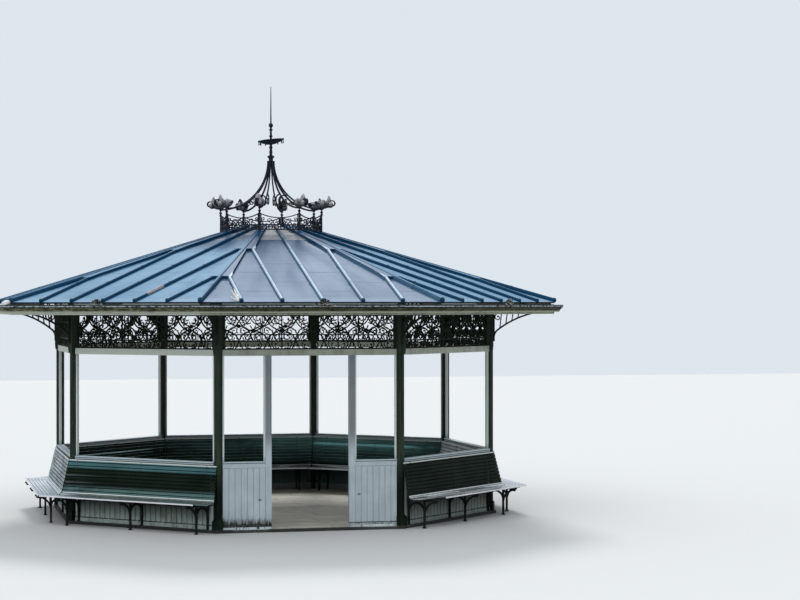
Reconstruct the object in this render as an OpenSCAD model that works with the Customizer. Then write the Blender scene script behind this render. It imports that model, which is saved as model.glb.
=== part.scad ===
// Octagonal park bandstand: timber posts and dado walls, pierced iron frieze, slatted benches
// inside and out, a sheet-metal pyramid roof with batten rolls, and an open iron crown.
// Millimetres, +Z up. The origin is on the ground at the centre of the octagon.
// Side 0 faces -Y and holds the doorway. The sides are counted anticlockwise from above.

/* [Plan] */
// Distance from the centre to the middle of each column
column_circle_r = 3500; // [3000:50:4200]
// Clear width of the doorway between its two posts
door_w = 1143; // [900:10:1400]
// Thickness of the stone floor
floor_t = 40; // [20:5:100]
// How far the floor runs out past the middle of each column
floor_margin = 110; // [100:5:160]

/* [Columns] */
// Width of the octagonal shaft across its flats
column_w = 116; // [90:2:120]
// Width of the square block at the head of each column
column_block_w = 130; // [122:2:180]
// Width of the square base block
column_base_w = 154; // [120:2:190]
// Height of the square base block above the floor
column_base_h = 130; // [80:5:250]
// Height of the sloping shoulder under the square head
column_shoulder_h = 70; // [30:5:85]

/* [Walls] */
// Height of the top of the dado wall above the ground
dado_top_z = 1013; // [900:1:1150]
// Thickness of the dado wall
wall_t = 70; // [50:2:90]
// Height of the plinth board
plinth_h = 57; // [40:1:120]
// Height of the moulded rail under the sill bead
wall_rail_h = 57; // [30:1:90]
// Height of the sill bead
sill_bead_h = 28; // [15:1:40]
// How far the plinth and the rail stand out from the wall
wall_trim_t = 12; // [6:1:20]
// Width of the doorway posts
door_post_w = 86; // [60:2:110]
// Depth to which the short walls are housed in the door posts
post_housing = 8; // [4:1:20]
// Width of the thin beads beside each window opening
bead_w = 25; // [15:1:40]
// Depth of those beads
bead_t = 44; // [30:1:60]

/* [Head rail, frieze and beam] */
// Height of the underside of the head rail above the ground
head_z = 2535; // [2300:5:2700]
// Height of the head rail
head_rail_h = 89; // [60:1:120]
// Thickness of the head rail
head_rail_t = 74; // [50:1:90]
// Height of the pierced frieze
frieze_h = 616; // [500:2:700]
// Height of the frieze's lower and upper bands
frieze_band_h = 125; // [100:1:150]
// Height of the frieze's rosettes above its foot
frieze_rose_z = 271.04; // [250:0.01:300]
// Width of the frieze's bars in its own plane
frieze_bar_w = 20; // [12:1:26]
// Thickness of the frieze
frieze_t = 18; // [10:1:30]
// How many times the pattern repeats along one side
frieze_modules = 6; // [4:1:8]
// Height of the eaves beam
beam_h = 193; // [120:1:220]
// Thickness of the eaves beam
beam_t = 110; // [80:2:150]

/* [Roof] */
// Distance from the centre to a corner of the roof sheet at the eaves
eave_r = 4534; // [4300:10:5200]
// Height of the apex of the roof planes above the eaves
roof_rise = 1309; // [1100:5:1500]
// Thickness of the roof boards
board_t = 24; // [15:1:40]
// Thickness of the sheet-metal covering with its underlay
sheet_t = 10; // [6:1:16]
// Width of a batten roll
roll_w = 52; // [40:1:70]
// Height of a batten roll above the sheet
roll_h = 45; // [35:1:60]
// How many strips the rolls divide each side of the roof into
roof_strips = 6; // [4:2:8]
// Width of a hip roll
hip_roll_w = 64; // [56:1:90]
// Height of a hip roll above the roof planes
hip_roll_h = 54; // [44:1:70]
// Length along the slope by which the batten rolls stop short of the hip's middle line
roll_stop = 350; // [200:10:450]
// Height of the tapered saddles that cover each hip above the rolls' ends
saddle_h = 44; // [20:2:50]
// Radius of the flat cap in which the roof ends inside the crown
cap_r = 420; // [320:10:520]
// Depth of the rafters
rafter_h = 118; // [100:2:180]
// Thickness of the rafters
rafter_w = 50; // [36:2:56]
// Depth to which the hip rafters are let into the columns' heads at their outer face
rafter_bite = 0.7; // [0.2:0.1:6]
// Width of the octagonal king post
king_post_w = 300; // [280:5:360]
// Length of the king post below the apex of the rafters
king_post_h = 330; // [250:5:500]

/* [Gutter] */
// Width of the gutter
gutter_w = 130; // [90:2:160]
// Height of the gutter
gutter_h = 110; // [90:2:150]
// Thickness of the gutter's iron
gutter_t = 8; // [6:1:12]
// Height of the leafy ornament in the middle of each side
crest_h = 130; // [80:5:160]
// Thickness of the fascia board behind the gutter
fascia_t = 24; // [18:1:40]
// Height of the fascia board
fascia_h = 150; // [120:2:200]
// How far the fascia board shows below the gutter
fascia_drop = 32; // [10:1:50]

/* [Brackets] */
// How far the bracket's tip stops short of the corner of the fascia
bracket_gap = 70; // [40:5:200]
// Radius of the tight curve at the bracket's foot
bracket_foot_curve_r = 150; // [100:5:200]
// Upward slope where the tight curve turns into the long one
bracket_bend = 38; // [30:1:45]
// Upward slope at the bracket's tip
bracket_tip_slope = 3; // [1:1:10]
// Width of the bracket's bars
bracket_bar_w = 26; // [16:1:36]
// Thickness of the bracket
bracket_t = 24; // [14:1:36]

/* [Benches] */
// Height of the top edge of the bench back above the ground
bench_top_z = 970; // [900:5:1000]
// Distance from the column line to the top of the bench back
bench_top_d = 66; // [62:1:80]
// Height of the seat's front edge above the ground
seat_z = 440; // [400:5:480]
// Distance from the column line to the seat's front edge
seat_front_d = 590; // [520:5:640]
// Angle of the bench back from upright
back_lean = 13; // [6:0.5:18]
// Radius of the curve between back and seat
bench_curve_r = 95; // [70:1:120]
// Width of a slat
slat_w = 45; // [30:1:60]
// Thickness of a slat
slat_t = 20; // [14:1:28]
// Gap between slats
slat_gap = 8; // [5:1:15]
// Width of the cast-iron supports along the bench
iron_t = 24; // [16:1:36]
// Width of the supports' bars in their own plane
iron_w = 30; // [22:1:40]
// Distance from the column line to the supports' front legs
front_leg_d = 330; // [280:5:400]
// Distance from a column's middle line to the first support
iron_inset = 145; // [120:5:300]
// The same distance for the inside benches, which are shorter
inner_iron_inset = 330; // [300:5:400]
// Length broken off the front slats at the doorway end of the bench on the right
broken_right = 600; // [0:10:900]
// Length broken off the front slat at the doorway end of the bench on the left
broken_left = 250; // [0:10:900]

/* [Crown] */
// Distance from the centre to the crown's posts
crown_r = 824; // [700:5:950]
// Width of a crown post
crown_post_w = 28; // [22:1:36]
// Reach of a crown post's leafy crocket outwards
crocket_out = 215; // [160:5:260]
// Radius of the crocket's cup
crocket_cup_r = 86; // [60:2:100]
// Height of a crown post
crown_post_h = 408; // [350:2:460]
// Height of the crown panels' bottom rail above the posts' feet
crown_gap_h = 56; // [30:1:80]
// Height of the crown panels at the posts
crown_panel_h = 256; // [200:2:300]
// How far the top of each panel dips in its middle
crown_scoop = 64; // [20:1:90]
// Thickness of the crown panels
crown_panel_t = 14; // [8:1:24]
// Width of the bars in the crown panels
crown_bar_w = 16; // [10:1:24]
// Width of the curved ribs
rib_w = 26; // [18:1:36]
// Height of the finial's collar above the ribs' feet
crown_collar_h = 843; // [700:1:950]
// Radius of the collar
collar_r = 56; // [40:1:80]
// Height of the finial from the collar to its tip
finial_h = 1117; // [900:5:1300]
// Radius of the shallow dish
dish_r = 208; // [150:1:260]
// Height of the dish's rim above the collar
dish_rise = 255; // [200:1:320]
// Radius of the ball
ball_r = 36; // [24:1:60]
// Height of the ball above the collar
ball_rise = 503; // [420:1:560]
// How far the dish has sunk out of level
dish_tilt = 6; // [0:0.5:8]
// Direction of the dish's high side, anticlockwise from +X
dish_turn = -13; // [-180:1:180]

/* [Hidden] */
$fn = 48;
sides = 8;
turn = 360 / sides;
half_turn = turn / 2;
side_names = ["front", "front_right", "right", "rear_right", "rear", "rear_left", "left", "front_left"];

// Plan of the octagon of columns
apothem = column_circle_r * cos(half_turn);
side_len = 2 * column_circle_r * sin(half_turn);
half_side = side_len / 2;
floor_r = column_circle_r + floor_margin;
// A square column block is turned by half a turn from each side, so a bay's end slopes in plan
function block_end(d, w) = half_side - w / 2 / cos(half_turn) + d * tan(half_turn);
shaft_end = half_side - column_w / 2;
// Heights
head_top_z = head_z + head_rail_h;
frieze_top_z = head_top_z + frieze_h;
beam_top_z = frieze_top_z + beam_h;
base_top_z = floor_t + column_base_h;
// Roof planes: the outer faces of the sheets
eave_a = eave_r * cos(half_turn);
facet_slope = atan(roof_rise / eave_a);
hip_slope = atan(roof_rise / eave_r);
facet_len = eave_a / cos(facet_slope);
half_eave = eave_a * tan(half_turn);
hip_len = eave_r / cos(hip_slope);
hip_gap = 6;
roll_clear = 3;
saddle_flare = 36;
saddle_knee = 200;
saddle_lap = 30;
cap_lip = 12;
cap_t = 14;
cover_t = board_t + sheet_t;
// The roof's height follows from the beams: the hip rafters rest on the columns' outer faces
hip_cross_z = beam_top_z - rafter_bite + rafter_h / cos(hip_slope) + cover_t / cos(facet_slope);
eave_z = hip_cross_z - roof_rise + (column_circle_r + column_block_w / 2) * tan(hip_slope);
apex_z = eave_z + roof_rise;
// Top of the rafters, measured down from the apex of the sheets
rafter_top_z = apex_z - cover_t / cos(facet_slope);
// Inside the crown the roof ends in a flat cap
cap_a = cap_r * cos(half_turn);
cap_z = apex_z - cap_r * tan(hip_slope);
cap_seat_z = cap_z - cover_t / cos(facet_slope);
facet_stop = facet_len - cap_a / cos(facet_slope);
// Gutter and fascia hang on the rafter feet
fascia_a = eave_a - 30;
gutter_a = fascia_a + fascia_t;
gutter_lip_z = eave_z - 45;
fascia_low_z = gutter_lip_z - gutter_h - fascia_drop;
// Brackets: a tight curve at the foot, then a long one that runs out under the corner rafter
bracket_r = column_circle_r + (column_block_w + bracket_bar_w) / 2;
bracket_end_r = fascia_a / cos(half_turn) - bracket_gap;
bracket_run = bracket_end_r - bracket_r;
foot_out = bracket_foot_curve_r * (1 - sin(bracket_bend));
foot_up = bracket_foot_curve_r * cos(bracket_bend);
long_curve_r = (bracket_run - foot_out) / (sin(bracket_bend) - sin(bracket_tip_slope));
bracket_tip_rise = foot_up + long_curve_r * (cos(bracket_tip_slope) - cos(bracket_bend));
bracket_foot_z = rafter_low(bracket_end_r) - bracket_bar_w / 2 - bracket_tip_rise;
// Crown
crown_foot_z = apex_z - crown_r * tan(hip_slope);
crown_top_z = crown_foot_z + crown_post_h;
collar_core_r = collar_r * 0.6;
rib_r = crown_r - collar_core_r - rib_w / 2;
crown_die_w = crown_post_w * 1.25;
collar_z = crown_top_z + crown_collar_h;
// Benches: the back falls straight, turns through an arc and runs out as the seat
seat_rise = 2;
seat_bend = 90 - back_lean + seat_rise;
bench_run = seat_front_d - bench_top_d;
bench_fall = bench_top_z - seat_z;
// Where the lines of back and seat cross, by similar triangles
cross_fall = (bench_fall + bench_run * tan(seat_rise)) / (1 + tan(back_lean) * tan(seat_rise));
back_line = cross_fall / cos(back_lean);
seat_line = (bench_run - cross_fall * tan(back_lean)) / cos(seat_rise);
bend_tangent = bench_curve_r * tan(seat_bend / 2);
back_len = back_line - bend_tangent;
bend_len = bench_curve_r * seat_bend * PI / 180;
seat_len = seat_line - bend_tangent;
slat_pitch = slat_w + slat_gap;
slat_count = floor((back_len + bend_len + seat_len + slat_gap) / slat_pitch);
bend_start = [bench_top_d + back_len * sin(back_lean), bench_top_z - back_len * cos(back_lean)];
bend_mid = bend_start + bench_curve_r * [cos(back_lean), sin(back_lean)];
bend_end = bend_mid + bench_curve_r * [sin(seat_rise), -cos(seat_rise)];
// Point and heading of the slats' middle line at a distance s from the top of the back
function bench_point(s) =
    s < back_len ? [bench_top_d + s * sin(back_lean), bench_top_z - s * cos(back_lean)]
    : s < back_len + bend_len ? bend_mid + bench_curve_r
        * [-cos(bench_heading(s) + 90), -sin(bench_heading(s) + 90)]
    : bend_end + (s - back_len - bend_len) * [cos(seat_rise), sin(seat_rise)];
function bench_heading(s) =
    s < back_len ? back_lean - 90
    : s < back_len + bend_len ? back_lean - 90 + (s - back_len) / bend_len * seat_bend
    : seat_rise;
rear_leg_d = wall_t / 2 + wall_trim_t + iron_w / 2;

// Turns what is drawn for the front side to side k, with its middle on the column line
module on_side(k) {
    rotate([0, 0, turn * k]) translate([0, -apothem, 0]) children();
}

// Turns what is drawn in the XZ plane along +X to the corner after side k
module on_corner(k) {
    rotate([0, 0, turn * k - 90 + half_turn]) children();
}

// Runs an outline of outward distance and height along a side
module along_side(length) {
    rotate([90, 0, -90]) linear_extrude(length, center = true) children();
}

// Stands an outline of radius and height in the plane of a corner
module upright(thick) {
    rotate([90, 0, 0]) linear_extrude(thick, center = true) children();
}

// Lays the XY plane on the roof plane of side k, with +Y up the slope
module on_facet(k) {
    rotate([0, 0, turn * k]) translate([0, -eave_a, eave_z]) rotate([facet_slope, 0, 0]) children();
}

// Part of a ring between two angles, as an outline
module arc_bar(r, w, from, to) {
    reach = 2 * (r + w);
    mid = (from + to) / 2;
    intersection() {
        difference() {
            circle(r + w / 2);
            circle(r - w / 2);
        }
        polygon([
            [0, 0],
            reach * [cos(from), sin(from)],
            reach * [cos(mid), sin(mid)],
            reach * [cos(to), sin(to)]
        ]);
    }
}

// A straight bar between two points, as an outline
module line_bar(a, b, w) {
    run = b - a;
    translate(a) rotate(atan2(run[1], run[0])) translate([0, -w / 2]) square([norm(run), w]);
}

// Unit vector at an angle
function dir(a) = [cos(a), sin(a)];

// A bar between two points that bows out to its left by sag, or to its right if sag is negative
module bow_bar(a, b, sag, w) {
    chord = norm(b - a);
    r = (chord * chord / 4 + sag * sag) / 2 / sag;
    along = atan2(b[1] - a[1], b[0] - a[0]);
    spread = asin(chord / 2 / abs(r));
    heading = along + 90 * sign(sag);
    translate((a + b) / 2 + (sag - r) * dir(along + 90))
        arc_bar(abs(r), w, heading - spread, heading + spread);
}

// A scroll: an outer arc, a tighter and thinner half ring out of its end, and a ball if asked for
module scroll(r, w, from, sweep, ball = true) {
    end = from + sweep;
    inner_r = r * 0.56;
    inner_mid = (r - inner_r) * dir(end);
    arc_bar(r, w, from, end);
    translate(inner_mid) arc_bar(inner_r, w * 0.85, end - 5, end + 180);
    if (ball) translate(inner_mid - inner_r * dir(end)) circle(w * 0.95);
}

// The same outline drawn on both sides of x = 0
module both_ways() {
    children();
    mirror([1, 0]) children();
}

// A bar between two columns in the plane of a side, with its ends cut to the column blocks
module block_bar(d_in, d_out, h, w) {
    linear_extrude(h) polygon([
        [-block_end(d_in, w), -d_in],
        [block_end(d_in, w), -d_in],
        [block_end(d_out, w), -d_out],
        [-block_end(d_out, w), -d_out]
    ]);
}

module floor_slab() {
    color("#8d8474") rotate([0, 0, half_turn]) cylinder(h = floor_t, r = floor_r, $fn = sides);
}

// A square block whose foot or head slopes in to another width, as two crossed outlines
module sloped_block(low_w, high_w, slope_h, straight_h) {
    rise = [
        [-low_w / 2, 0],
        [low_w / 2, 0],
        [high_w / 2, slope_h],
        [high_w / 2, slope_h + straight_h],
        [-high_w / 2, slope_h + straight_h],
        [-high_w / 2, slope_h]
    ];
    reach = max(low_w, high_w) + 2;
    intersection() {
        upright(reach) polygon(rise);
        rotate([0, 0, 90]) upright(reach) polygon(rise);
    }
}

// The square head of a column above its shoulder
module column_head() {
    translate([0, 0, head_top_z - column_shoulder_h])
        sloped_block(column_w, column_block_w, column_shoulder_h, beam_top_z - head_top_z);
}

module column() {
    shaft_r = column_w / 2 / cos(half_turn);
    step = (column_base_w - column_w) / 2;
    translate([-column_base_w / 2, -column_base_w / 2, floor_t])
        cube([column_base_w, column_base_w, column_base_h]);
    translate([0, 0, base_top_z]) sloped_block(column_base_w, column_w, step, step / 2);
    translate([0, 0, base_top_z])
        cylinder(h = head_top_z - base_top_z, r = shaft_r, $fn = 8);
    column_head();
}

module columns() {
    color("#2c3a2c") for (k = [0 : sides - 1])
        on_corner(k) translate([column_circle_r, 0, 0]) column();
}

// Outline of a dado wall across its thickness: plinth, boarding, rail and sill bead
module wall_outline() {
    half_t = wall_t / 2;
    out_t = half_t + wall_trim_t;
    rail_top = dado_top_z - sill_bead_h;
    rail_low = rail_top - wall_rail_h;
    polygon([
        [-half_t, floor_t],
        [out_t, floor_t],
        [out_t, floor_t + plinth_h],
        [half_t, floor_t + plinth_h + wall_trim_t],
        [half_t, rail_low - wall_trim_t],
        [out_t, rail_low],
        [out_t, rail_top],
        [half_t + wall_trim_t / 2, dado_top_z],
        [-half_t, dado_top_z]
    ]);
}

// The base blocks at both ends of a side, which the foot of its wall is cut round
module base_blocks() {
    for (s = [-1, 1])
        translate([s * half_side, 0, 0]) rotate([0, 0, s * half_turn])
            translate([-column_base_w / 2, -column_base_w / 2, 0])
                cube([column_base_w, column_base_w, base_top_z]);
}

module wall(k) {
    color("#cfd6da") on_side(k) difference() {
        along_side(2 * shaft_end) wall_outline();
        base_blocks();
    }
}

// The short wall beside the doorway with its full-height post
module door_side(s) {
    post_in = door_w / 2;
    post_out = post_in + door_post_w;
    panel_in = post_out - post_housing;
    panel_w = shaft_end - panel_in;
    color("#cfd6da") on_side(0) {
        difference() {
            translate([s * (panel_in + panel_w / 2), 0, 0]) along_side(panel_w) wall_outline();
            base_blocks();
        }
        translate([s * (post_in + door_post_w / 2), 0, (floor_t + head_z) / 2])
            cube([door_post_w, door_post_w, head_z - floor_t], center = true);
    }
}

module head_rails() {
    color("#e4e6e2") for (k = [0 : sides - 1]) on_side(k) difference() {
        translate([-shaft_end, -head_rail_t / 2, head_z])
            cube([2 * shaft_end, head_rail_t, head_rail_h]);
        for (s = [-1, 1]) translate([s * half_side, 0, 0]) rotate([0, 0, s * half_turn])
            column_head();
    }
}

// One upright bead between sill and head rail
module upright_bead(x) {
    translate([x - bead_w / 2, -bead_t / 2, dado_top_z])
        cube([bead_w, bead_t, head_z - dado_top_z]);
}

module window_beads() {
    column_bead = shaft_end - bead_w / 2;
    post_bead = door_w / 2 + door_post_w + bead_w / 2;
    color("#e4e6e2") for (k = [0 : sides - 1]) on_side(k) for (s = [-1, 1]) {
        upright_bead(s * column_bead);
        if (k == 0) upright_bead(s * post_bead);
    }
}

// A pointed leaf of a length and width along +X
module leaf(length, width) {
    r = (length * length + width * width) / 4 / width;
    translate([length / 2, 0]) intersection() {
        translate([0, width / 2 - r]) circle(r);
        translate([0, r - width / 2]) circle(r);
    }
}

// What lies round one rosette of the frieze, w to the next: a joint of two castings or a middle
module frieze_rose(w, joint) {
    bar = frieze_bar_w * 0.8;
    thin = bar * 0.85;
    band = frieze_band_h;
    rose_z = frieze_rose_z;
    cross_z = frieze_h * 0.67;
    if (joint) line_bar([0, 0], [0, frieze_h], bar);
    translate([0, rose_z]) circle(frieze_bar_w * 1.6);
    both_ways() {
        // Two waves leave the rosette, bow round the scrolls and cross those of the next repeat
        bow_bar([0, rose_z], [w / 2, cross_z], -w * 0.08, bar);
        bow_bar([0, rose_z], [w / 2, band], w * 0.1, bar);
        bow_bar([w / 2, cross_z], [w * 0.27, frieze_h], w * 0.05, bar);
        line_bar([w / 2, band], [w * 0.355, 0], bar);
        // Upper scroll, lower scroll and the hanging scroll of the lower band
        translate([w * 0.215, frieze_h * 0.71]) scroll(w * 0.17, thin, 80, -215);
        translate([w * 0.2, band + w * 0.17]) scroll(w * 0.125, thin, 60, 205);
        if (joint) translate([w * 0.2, band * 0.62]) scroll(w * 0.15, thin, 60, -190);
        else translate([w * 0.175, band * 0.5]) scroll(w * 0.11, thin, 60, -190);
    }
}

module frieze(k) {
    clear = block_end(-frieze_t / 2, column_block_w);
    stile_w = frieze_bar_w;
    inner = clear - stile_w;
    w = 2 * inner / frieze_modules;
    color("#26332b") on_side(k) translate([0, 0, head_top_z]) {
        rotate([90, 0, 0]) linear_extrude(frieze_t, center = true) intersection() {
            union() {
                for (i = [0 : frieze_modules])
                    translate([-inner + w * i, 0]) frieze_rose(w, i % 2 == 0);
                for (z = [frieze_bar_w / 2, frieze_band_h, frieze_h - frieze_band_h,
                        frieze_h - frieze_bar_w / 2])
                    translate([-inner, z - frieze_bar_w / 2]) square([2 * inner, frieze_bar_w]);
            }
            translate([-inner, 0]) square([2 * inner, frieze_h]);
        }
        for (s = [-1, 1]) linear_extrude(frieze_h) polygon([
            [s * (inner - 0.01), -frieze_t / 2],
            [s * block_end(frieze_t / 2, column_block_w), -frieze_t / 2],
            [s * block_end(-frieze_t / 2, column_block_w), frieze_t / 2],
            [s * (inner - 0.01), frieze_t / 2]
        ]);
    }
}

module eaves_beams() {
    color("#d9dcd6") for (k = [0 : sides - 1])
        on_side(k) translate([0, 0, frieze_top_z])
            block_bar(-beam_t / 2, beam_t / 2, beam_h, column_block_w);
}

module king_post() {
    low = rafter_top_z - king_post_h;
    color("#b9a98a") translate([0, 0, low]) rotate([0, 0, half_turn])
        cylinder(h = cap_seat_z - low, r = king_post_w / 2 / cos(half_turn), $fn = sides);
}

// A rafter's side view from the king post, level under the cap, to its foot at distance r_end
module rafter_outline(r_start, r_end, slope) {
    top = rafter_top_z;
    down = rafter_h / cos(slope);
    polygon([
        [(top - cap_seat_z) / tan(slope), cap_seat_z],
        [r_start, cap_seat_z],
        [r_start, top - r_start * tan(slope) - down],
        [r_end, top - r_end * tan(slope) - down],
        [r_end, top - r_end * tan(slope)]
    ]);
}

module rafters() {
    fascia_r = fascia_a / cos(half_turn);
    color("#b9a98a") for (k = [0 : sides - 1]) {
        on_corner(k) upright(rafter_w)
            rafter_outline(king_post_w / 2 / cos(half_turn), fascia_r - rafter_w / 2, hip_slope);
        rotate([0, 0, turn * k - 90]) upright(rafter_w)
            rafter_outline(king_post_w / 2, fascia_a, facet_slope);
    }
}

// One side of the roof as an outline on its plane, stopping short of the hips and the apex
module facet_outline(gap, start, stop) {
    half_at = half_eave / facet_len;
    polygon([
        [-half_at * (facet_len - start) + gap, start],
        [half_at * (facet_len - start) - gap, start],
        [half_at * (facet_len - stop) - gap, stop],
        [-half_at * (facet_len - stop) + gap, stop]
    ]);
}

module roof_boards() {
    color("#b9a98a") for (k = [0 : sides - 1]) on_facet(k)
        translate([0, 0, -cover_t]) linear_extrude(board_t)
            facet_outline(hip_gap, 30, facet_stop);
}

// Cross-section of a batten roll that stands h above the sheet
module roll_outline(w, h) {
    translate([0, h - w / 2]) circle(w / 2);
    translate([-w / 2, -sheet_t / 2]) square([w, h - w / 2 + sheet_t / 2]);
}

module roof_sheet() {
    strip = 2 * half_eave / roof_strips;
    translate([0, 0, -sheet_t]) linear_extrude(sheet_t)
        facet_outline(hip_gap, 0, facet_stop);
    for (i = [-roof_strips / 2 + 1 : roof_strips / 2 - 1]) {
        x = i * strip;
        run = min(facet_stop - cap_lip, saddle_foot(abs(x)) - roll_clear);
        translate([x, run, 0]) rotate([90, 0, 0]) linear_extrude(run)
            roll_outline(roll_w, roll_h);
    }
}

module roof_sheets() {
    color("#6f7f96") for (k = [0 : sides - 1]) on_facet(k) roof_sheet();
}

// Distance up the slope at which the roll at x ends and a saddle begins
function saddle_foot(x) = facet_len * (1 - x / half_eave) - roll_stop;

// Distance of the hip from the middle of its facet, at a distance up the slope
function hip_x(y) = half_eave * (1 - y / facet_len);

// One half of a saddle, as an outline on the facet: flared over the roll's end, narrow at its top
module saddle_outline(low, high) {
    cover = roll_stop * half_eave / facet_len + (roll_w + saddle_flare / 2) / 2;
    inner = hip_roll_w / 6;
    polygon([
        [hip_x(low) - inner, low],
        [hip_x(low) - cover, low],
        [hip_x(low) - cover - saddle_flare, low + saddle_knee],
        [hip_x(high) - hip_roll_w / 2 - roll_clear, high],
        [hip_x(high) - inner, high]
    ]);
}

// The saddles of side k beside one of its hips: s is 1 for the hip on the right, -1 on the left
module saddles(k, s) {
    strip = 2 * half_eave / roof_strips;
    for (i = [1 : roof_strips / 2 - 1]) {
        next = i == 1 ? facet_stop - cap_lip : saddle_foot((i - 1) * strip) + saddle_lap;
        on_facet(k) scale([s, 1, 1]) linear_extrude(saddle_h)
            saddle_outline(saddle_foot(i * strip), next);
    }
}

// Each hip has a roll from the eave to the cap, with tapered saddles on both of its sides
module hip_rolls() {
    start = (cap_r + cap_lip) / cos(hip_slope);
    color("#4f6079") for (k = [0 : sides - 1]) {
        on_corner(k) translate([eave_r, 0, eave_z]) rotate([0, hip_slope, 0])
            translate([-hip_len + start, 0, 0]) rotate([90, 0, 90])
                linear_extrude(hip_len - start) roll_outline(hip_roll_w, hip_roll_h);
        saddles(k, 1);
        saddles(k + 1, -1);
    }
}

// The flat cap over the top of the roof: a plate on the sheets and a core on the rafters
module roof_cap() {
    color("#4f6079") rotate([0, 0, half_turn]) {
        translate([0, 0, cap_z]) cylinder(h = cap_t, r = cap_r, $fn = sides);
        translate([0, 0, cap_seat_z]) cylinder(h = cap_z - cap_seat_z + cap_t / 2,
            r = cap_r - cover_t, $fn = sides);
    }
}

// Runs an outline of distance and height round side k, with mitred ends a hair apart
module mitred_side(k, a_max) {
    hair = 0.5;
    reach = a_max + 100;
    rotate([0, 0, turn * k]) intersection() {
        along_side(2 * reach * tan(half_turn)) children();
        translate([0, 0, fascia_low_z - 50]) linear_extrude(gutter_h + fascia_h + 200) polygon([
            [-hair, 0],
            [hair, 0],
            [reach * tan(half_turn) - hair, -reach],
            [-reach * tan(half_turn) + hair, -reach]
        ]);
    }
}

module fascia() {
    color("#dfe2dc") for (k = [0 : sides - 1]) mitred_side(k, gutter_a)
        translate([fascia_a, fascia_low_z]) square([fascia_t, fascia_h]);
}

// Gutter cross-section: a flat bottom, a moulded front and a rolled lip
module gutter_outline() {
    w = gutter_w;
    h = gutter_h;
    t = gutter_t;
    difference() {
        polygon([
            [0, 0],
            [w * 0.55, 0],
            [w * 0.66, h * 0.3],
            [w * 0.92, h * 0.62],
            [w, h * 0.72],
            [w, h],
            [0, h]
        ]);
        polygon([
            [t, t],
            [w * 0.55 - t, t],
            [w * 0.66 - t, h * 0.3 + t],
            [w * 0.92 - t, h * 0.62 + t],
            [w - t, h * 0.72 + t],
            [w - t, h + 1],
            [t, h + 1]
        ]);
    }
}

module gutter() {
    color("#5c5a48") for (k = [0 : sides - 1]) {
        mitred_side(k, gutter_a + gutter_w) translate([gutter_a, gutter_lip_z - gutter_h])
            gutter_outline();
        rotate([0, 0, turn * k]) translate([0, -gutter_a - gutter_w + gutter_t, gutter_lip_z])
            gutter_crest();
    }
}

// The leafy ornament that stands up from the gutter's lip: volutes under an arched fan
module gutter_crest() {
    w = gutter_t * 1.25;
    fan_r = crest_h * 0.66;
    volute_r = crest_h * 0.2;
    rotate([90, 0, 0]) linear_extrude(gutter_t * 2) translate([0, -volute_r / 2]) {
        both_ways() {
            translate([volute_r + w * 2, 0]) arc_bar(volute_r, w, -120, 50);
            rotate(52) leaf(fan_r + w, w * 2);
        }
        rotate(90) leaf(fan_r + w * 1.4, w * 2);
        circle(w * 1.4);
        translate([0, w / 2]) arc_bar(fan_r, w, 20, 160);
    }
}

// Height of the bracket's curve above its foot, at a distance out from its start
function bracket_rise(x) =
    x < foot_out ? sqrt(max(0, pow(bracket_foot_curve_r, 2) - pow(bracket_foot_curve_r - x, 2)))
    : foot_up + long_curve_r * (cos(asin(sin(bracket_bend) - (x - foot_out) / long_curve_r))
        - cos(bracket_bend));

// Underside of the corner rafters at a distance from the centre
function rafter_low(r) = rafter_top_z - rafter_h / cos(hip_slope) - r * tan(hip_slope);

// The curved spandrel bracket outside a column, as an outline of radius and height
module bracket_outline() {
    w = bracket_bar_w;
    thin = w * 0.6;
    start = [bracket_r, bracket_foot_z];
    lean = bracket_run * 0.06;
    curl_r = 46;
    // Back bar on the column, head bar under the rafter, and the curve from one to the other
    line_bar([bracket_r, bracket_foot_z - 60], [bracket_r, rafter_low(bracket_r) - w / 2], w);
    line_bar([bracket_r - w / 2, rafter_low(bracket_r - w / 2) - w / 2],
        [bracket_end_r, rafter_low(bracket_end_r) - w / 2], w);
    translate(start + [bracket_foot_curve_r, 0]) arc_bar(bracket_foot_curve_r, w, 90 + bracket_bend, 180);
    translate(start + [foot_out + long_curve_r * sin(bracket_bend),
        foot_up - long_curve_r * cos(bracket_bend)])
        arc_bar(long_curve_r, w, 90 + bracket_tip_slope, 90 + bracket_bend);
    // Four bars lean from the curve to the head bar, and a curl fills the corner by the column
    for (share = [0.11 : 0.11 : 0.45]) let (x = share * bracket_run, head_r = bracket_r + x + lean)
        line_bar(start + [x, bracket_rise(x)], [head_r, rafter_low(head_r) - w / 2], thin);
    translate([bracket_r + w / 2 + curl_r + thin / 3, fascia_low_z - curl_r])
        scroll(curl_r, thin, 90, 180);
}

module brackets() {
    color("#26332b") for (k = [0 : sides - 1]) on_corner(k) upright(bracket_t) bracket_outline();
}

// The slats of one bench. Outward is +1 for a bench outside the wall and -1 inside
module bench_slats(outward, door_end = 1, broken_front = 0, broken_second = 0) {
    for (i = [0 : slat_count - 1]) {
        s = slat_w / 2 + i * slat_pitch;
        p = bench_point(s);
        heading = bench_heading(s);
        near = p[0] - slat_w / 2 * cos(heading) - slat_t / 2 * abs(sin(heading));
        far = p[0] + slat_w / 2 * cos(heading) + slat_t / 2 * abs(sin(heading));
        half_len = half_side + (outward > 0 ? near : -far) * tan(half_turn) - 4;
        // A broken slat has lost the end beside the doorway
        lost = i == slat_count - 1 ? broken_front : i == slat_count - 2 ? broken_second : 0;
        translate([door_end * -lost / 2, -outward * p[0], p[1]]) rotate([-outward * heading, 0, 0])
            cube([2 * half_len - lost, slat_w, slat_t], center = true);
    }
}

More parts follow.
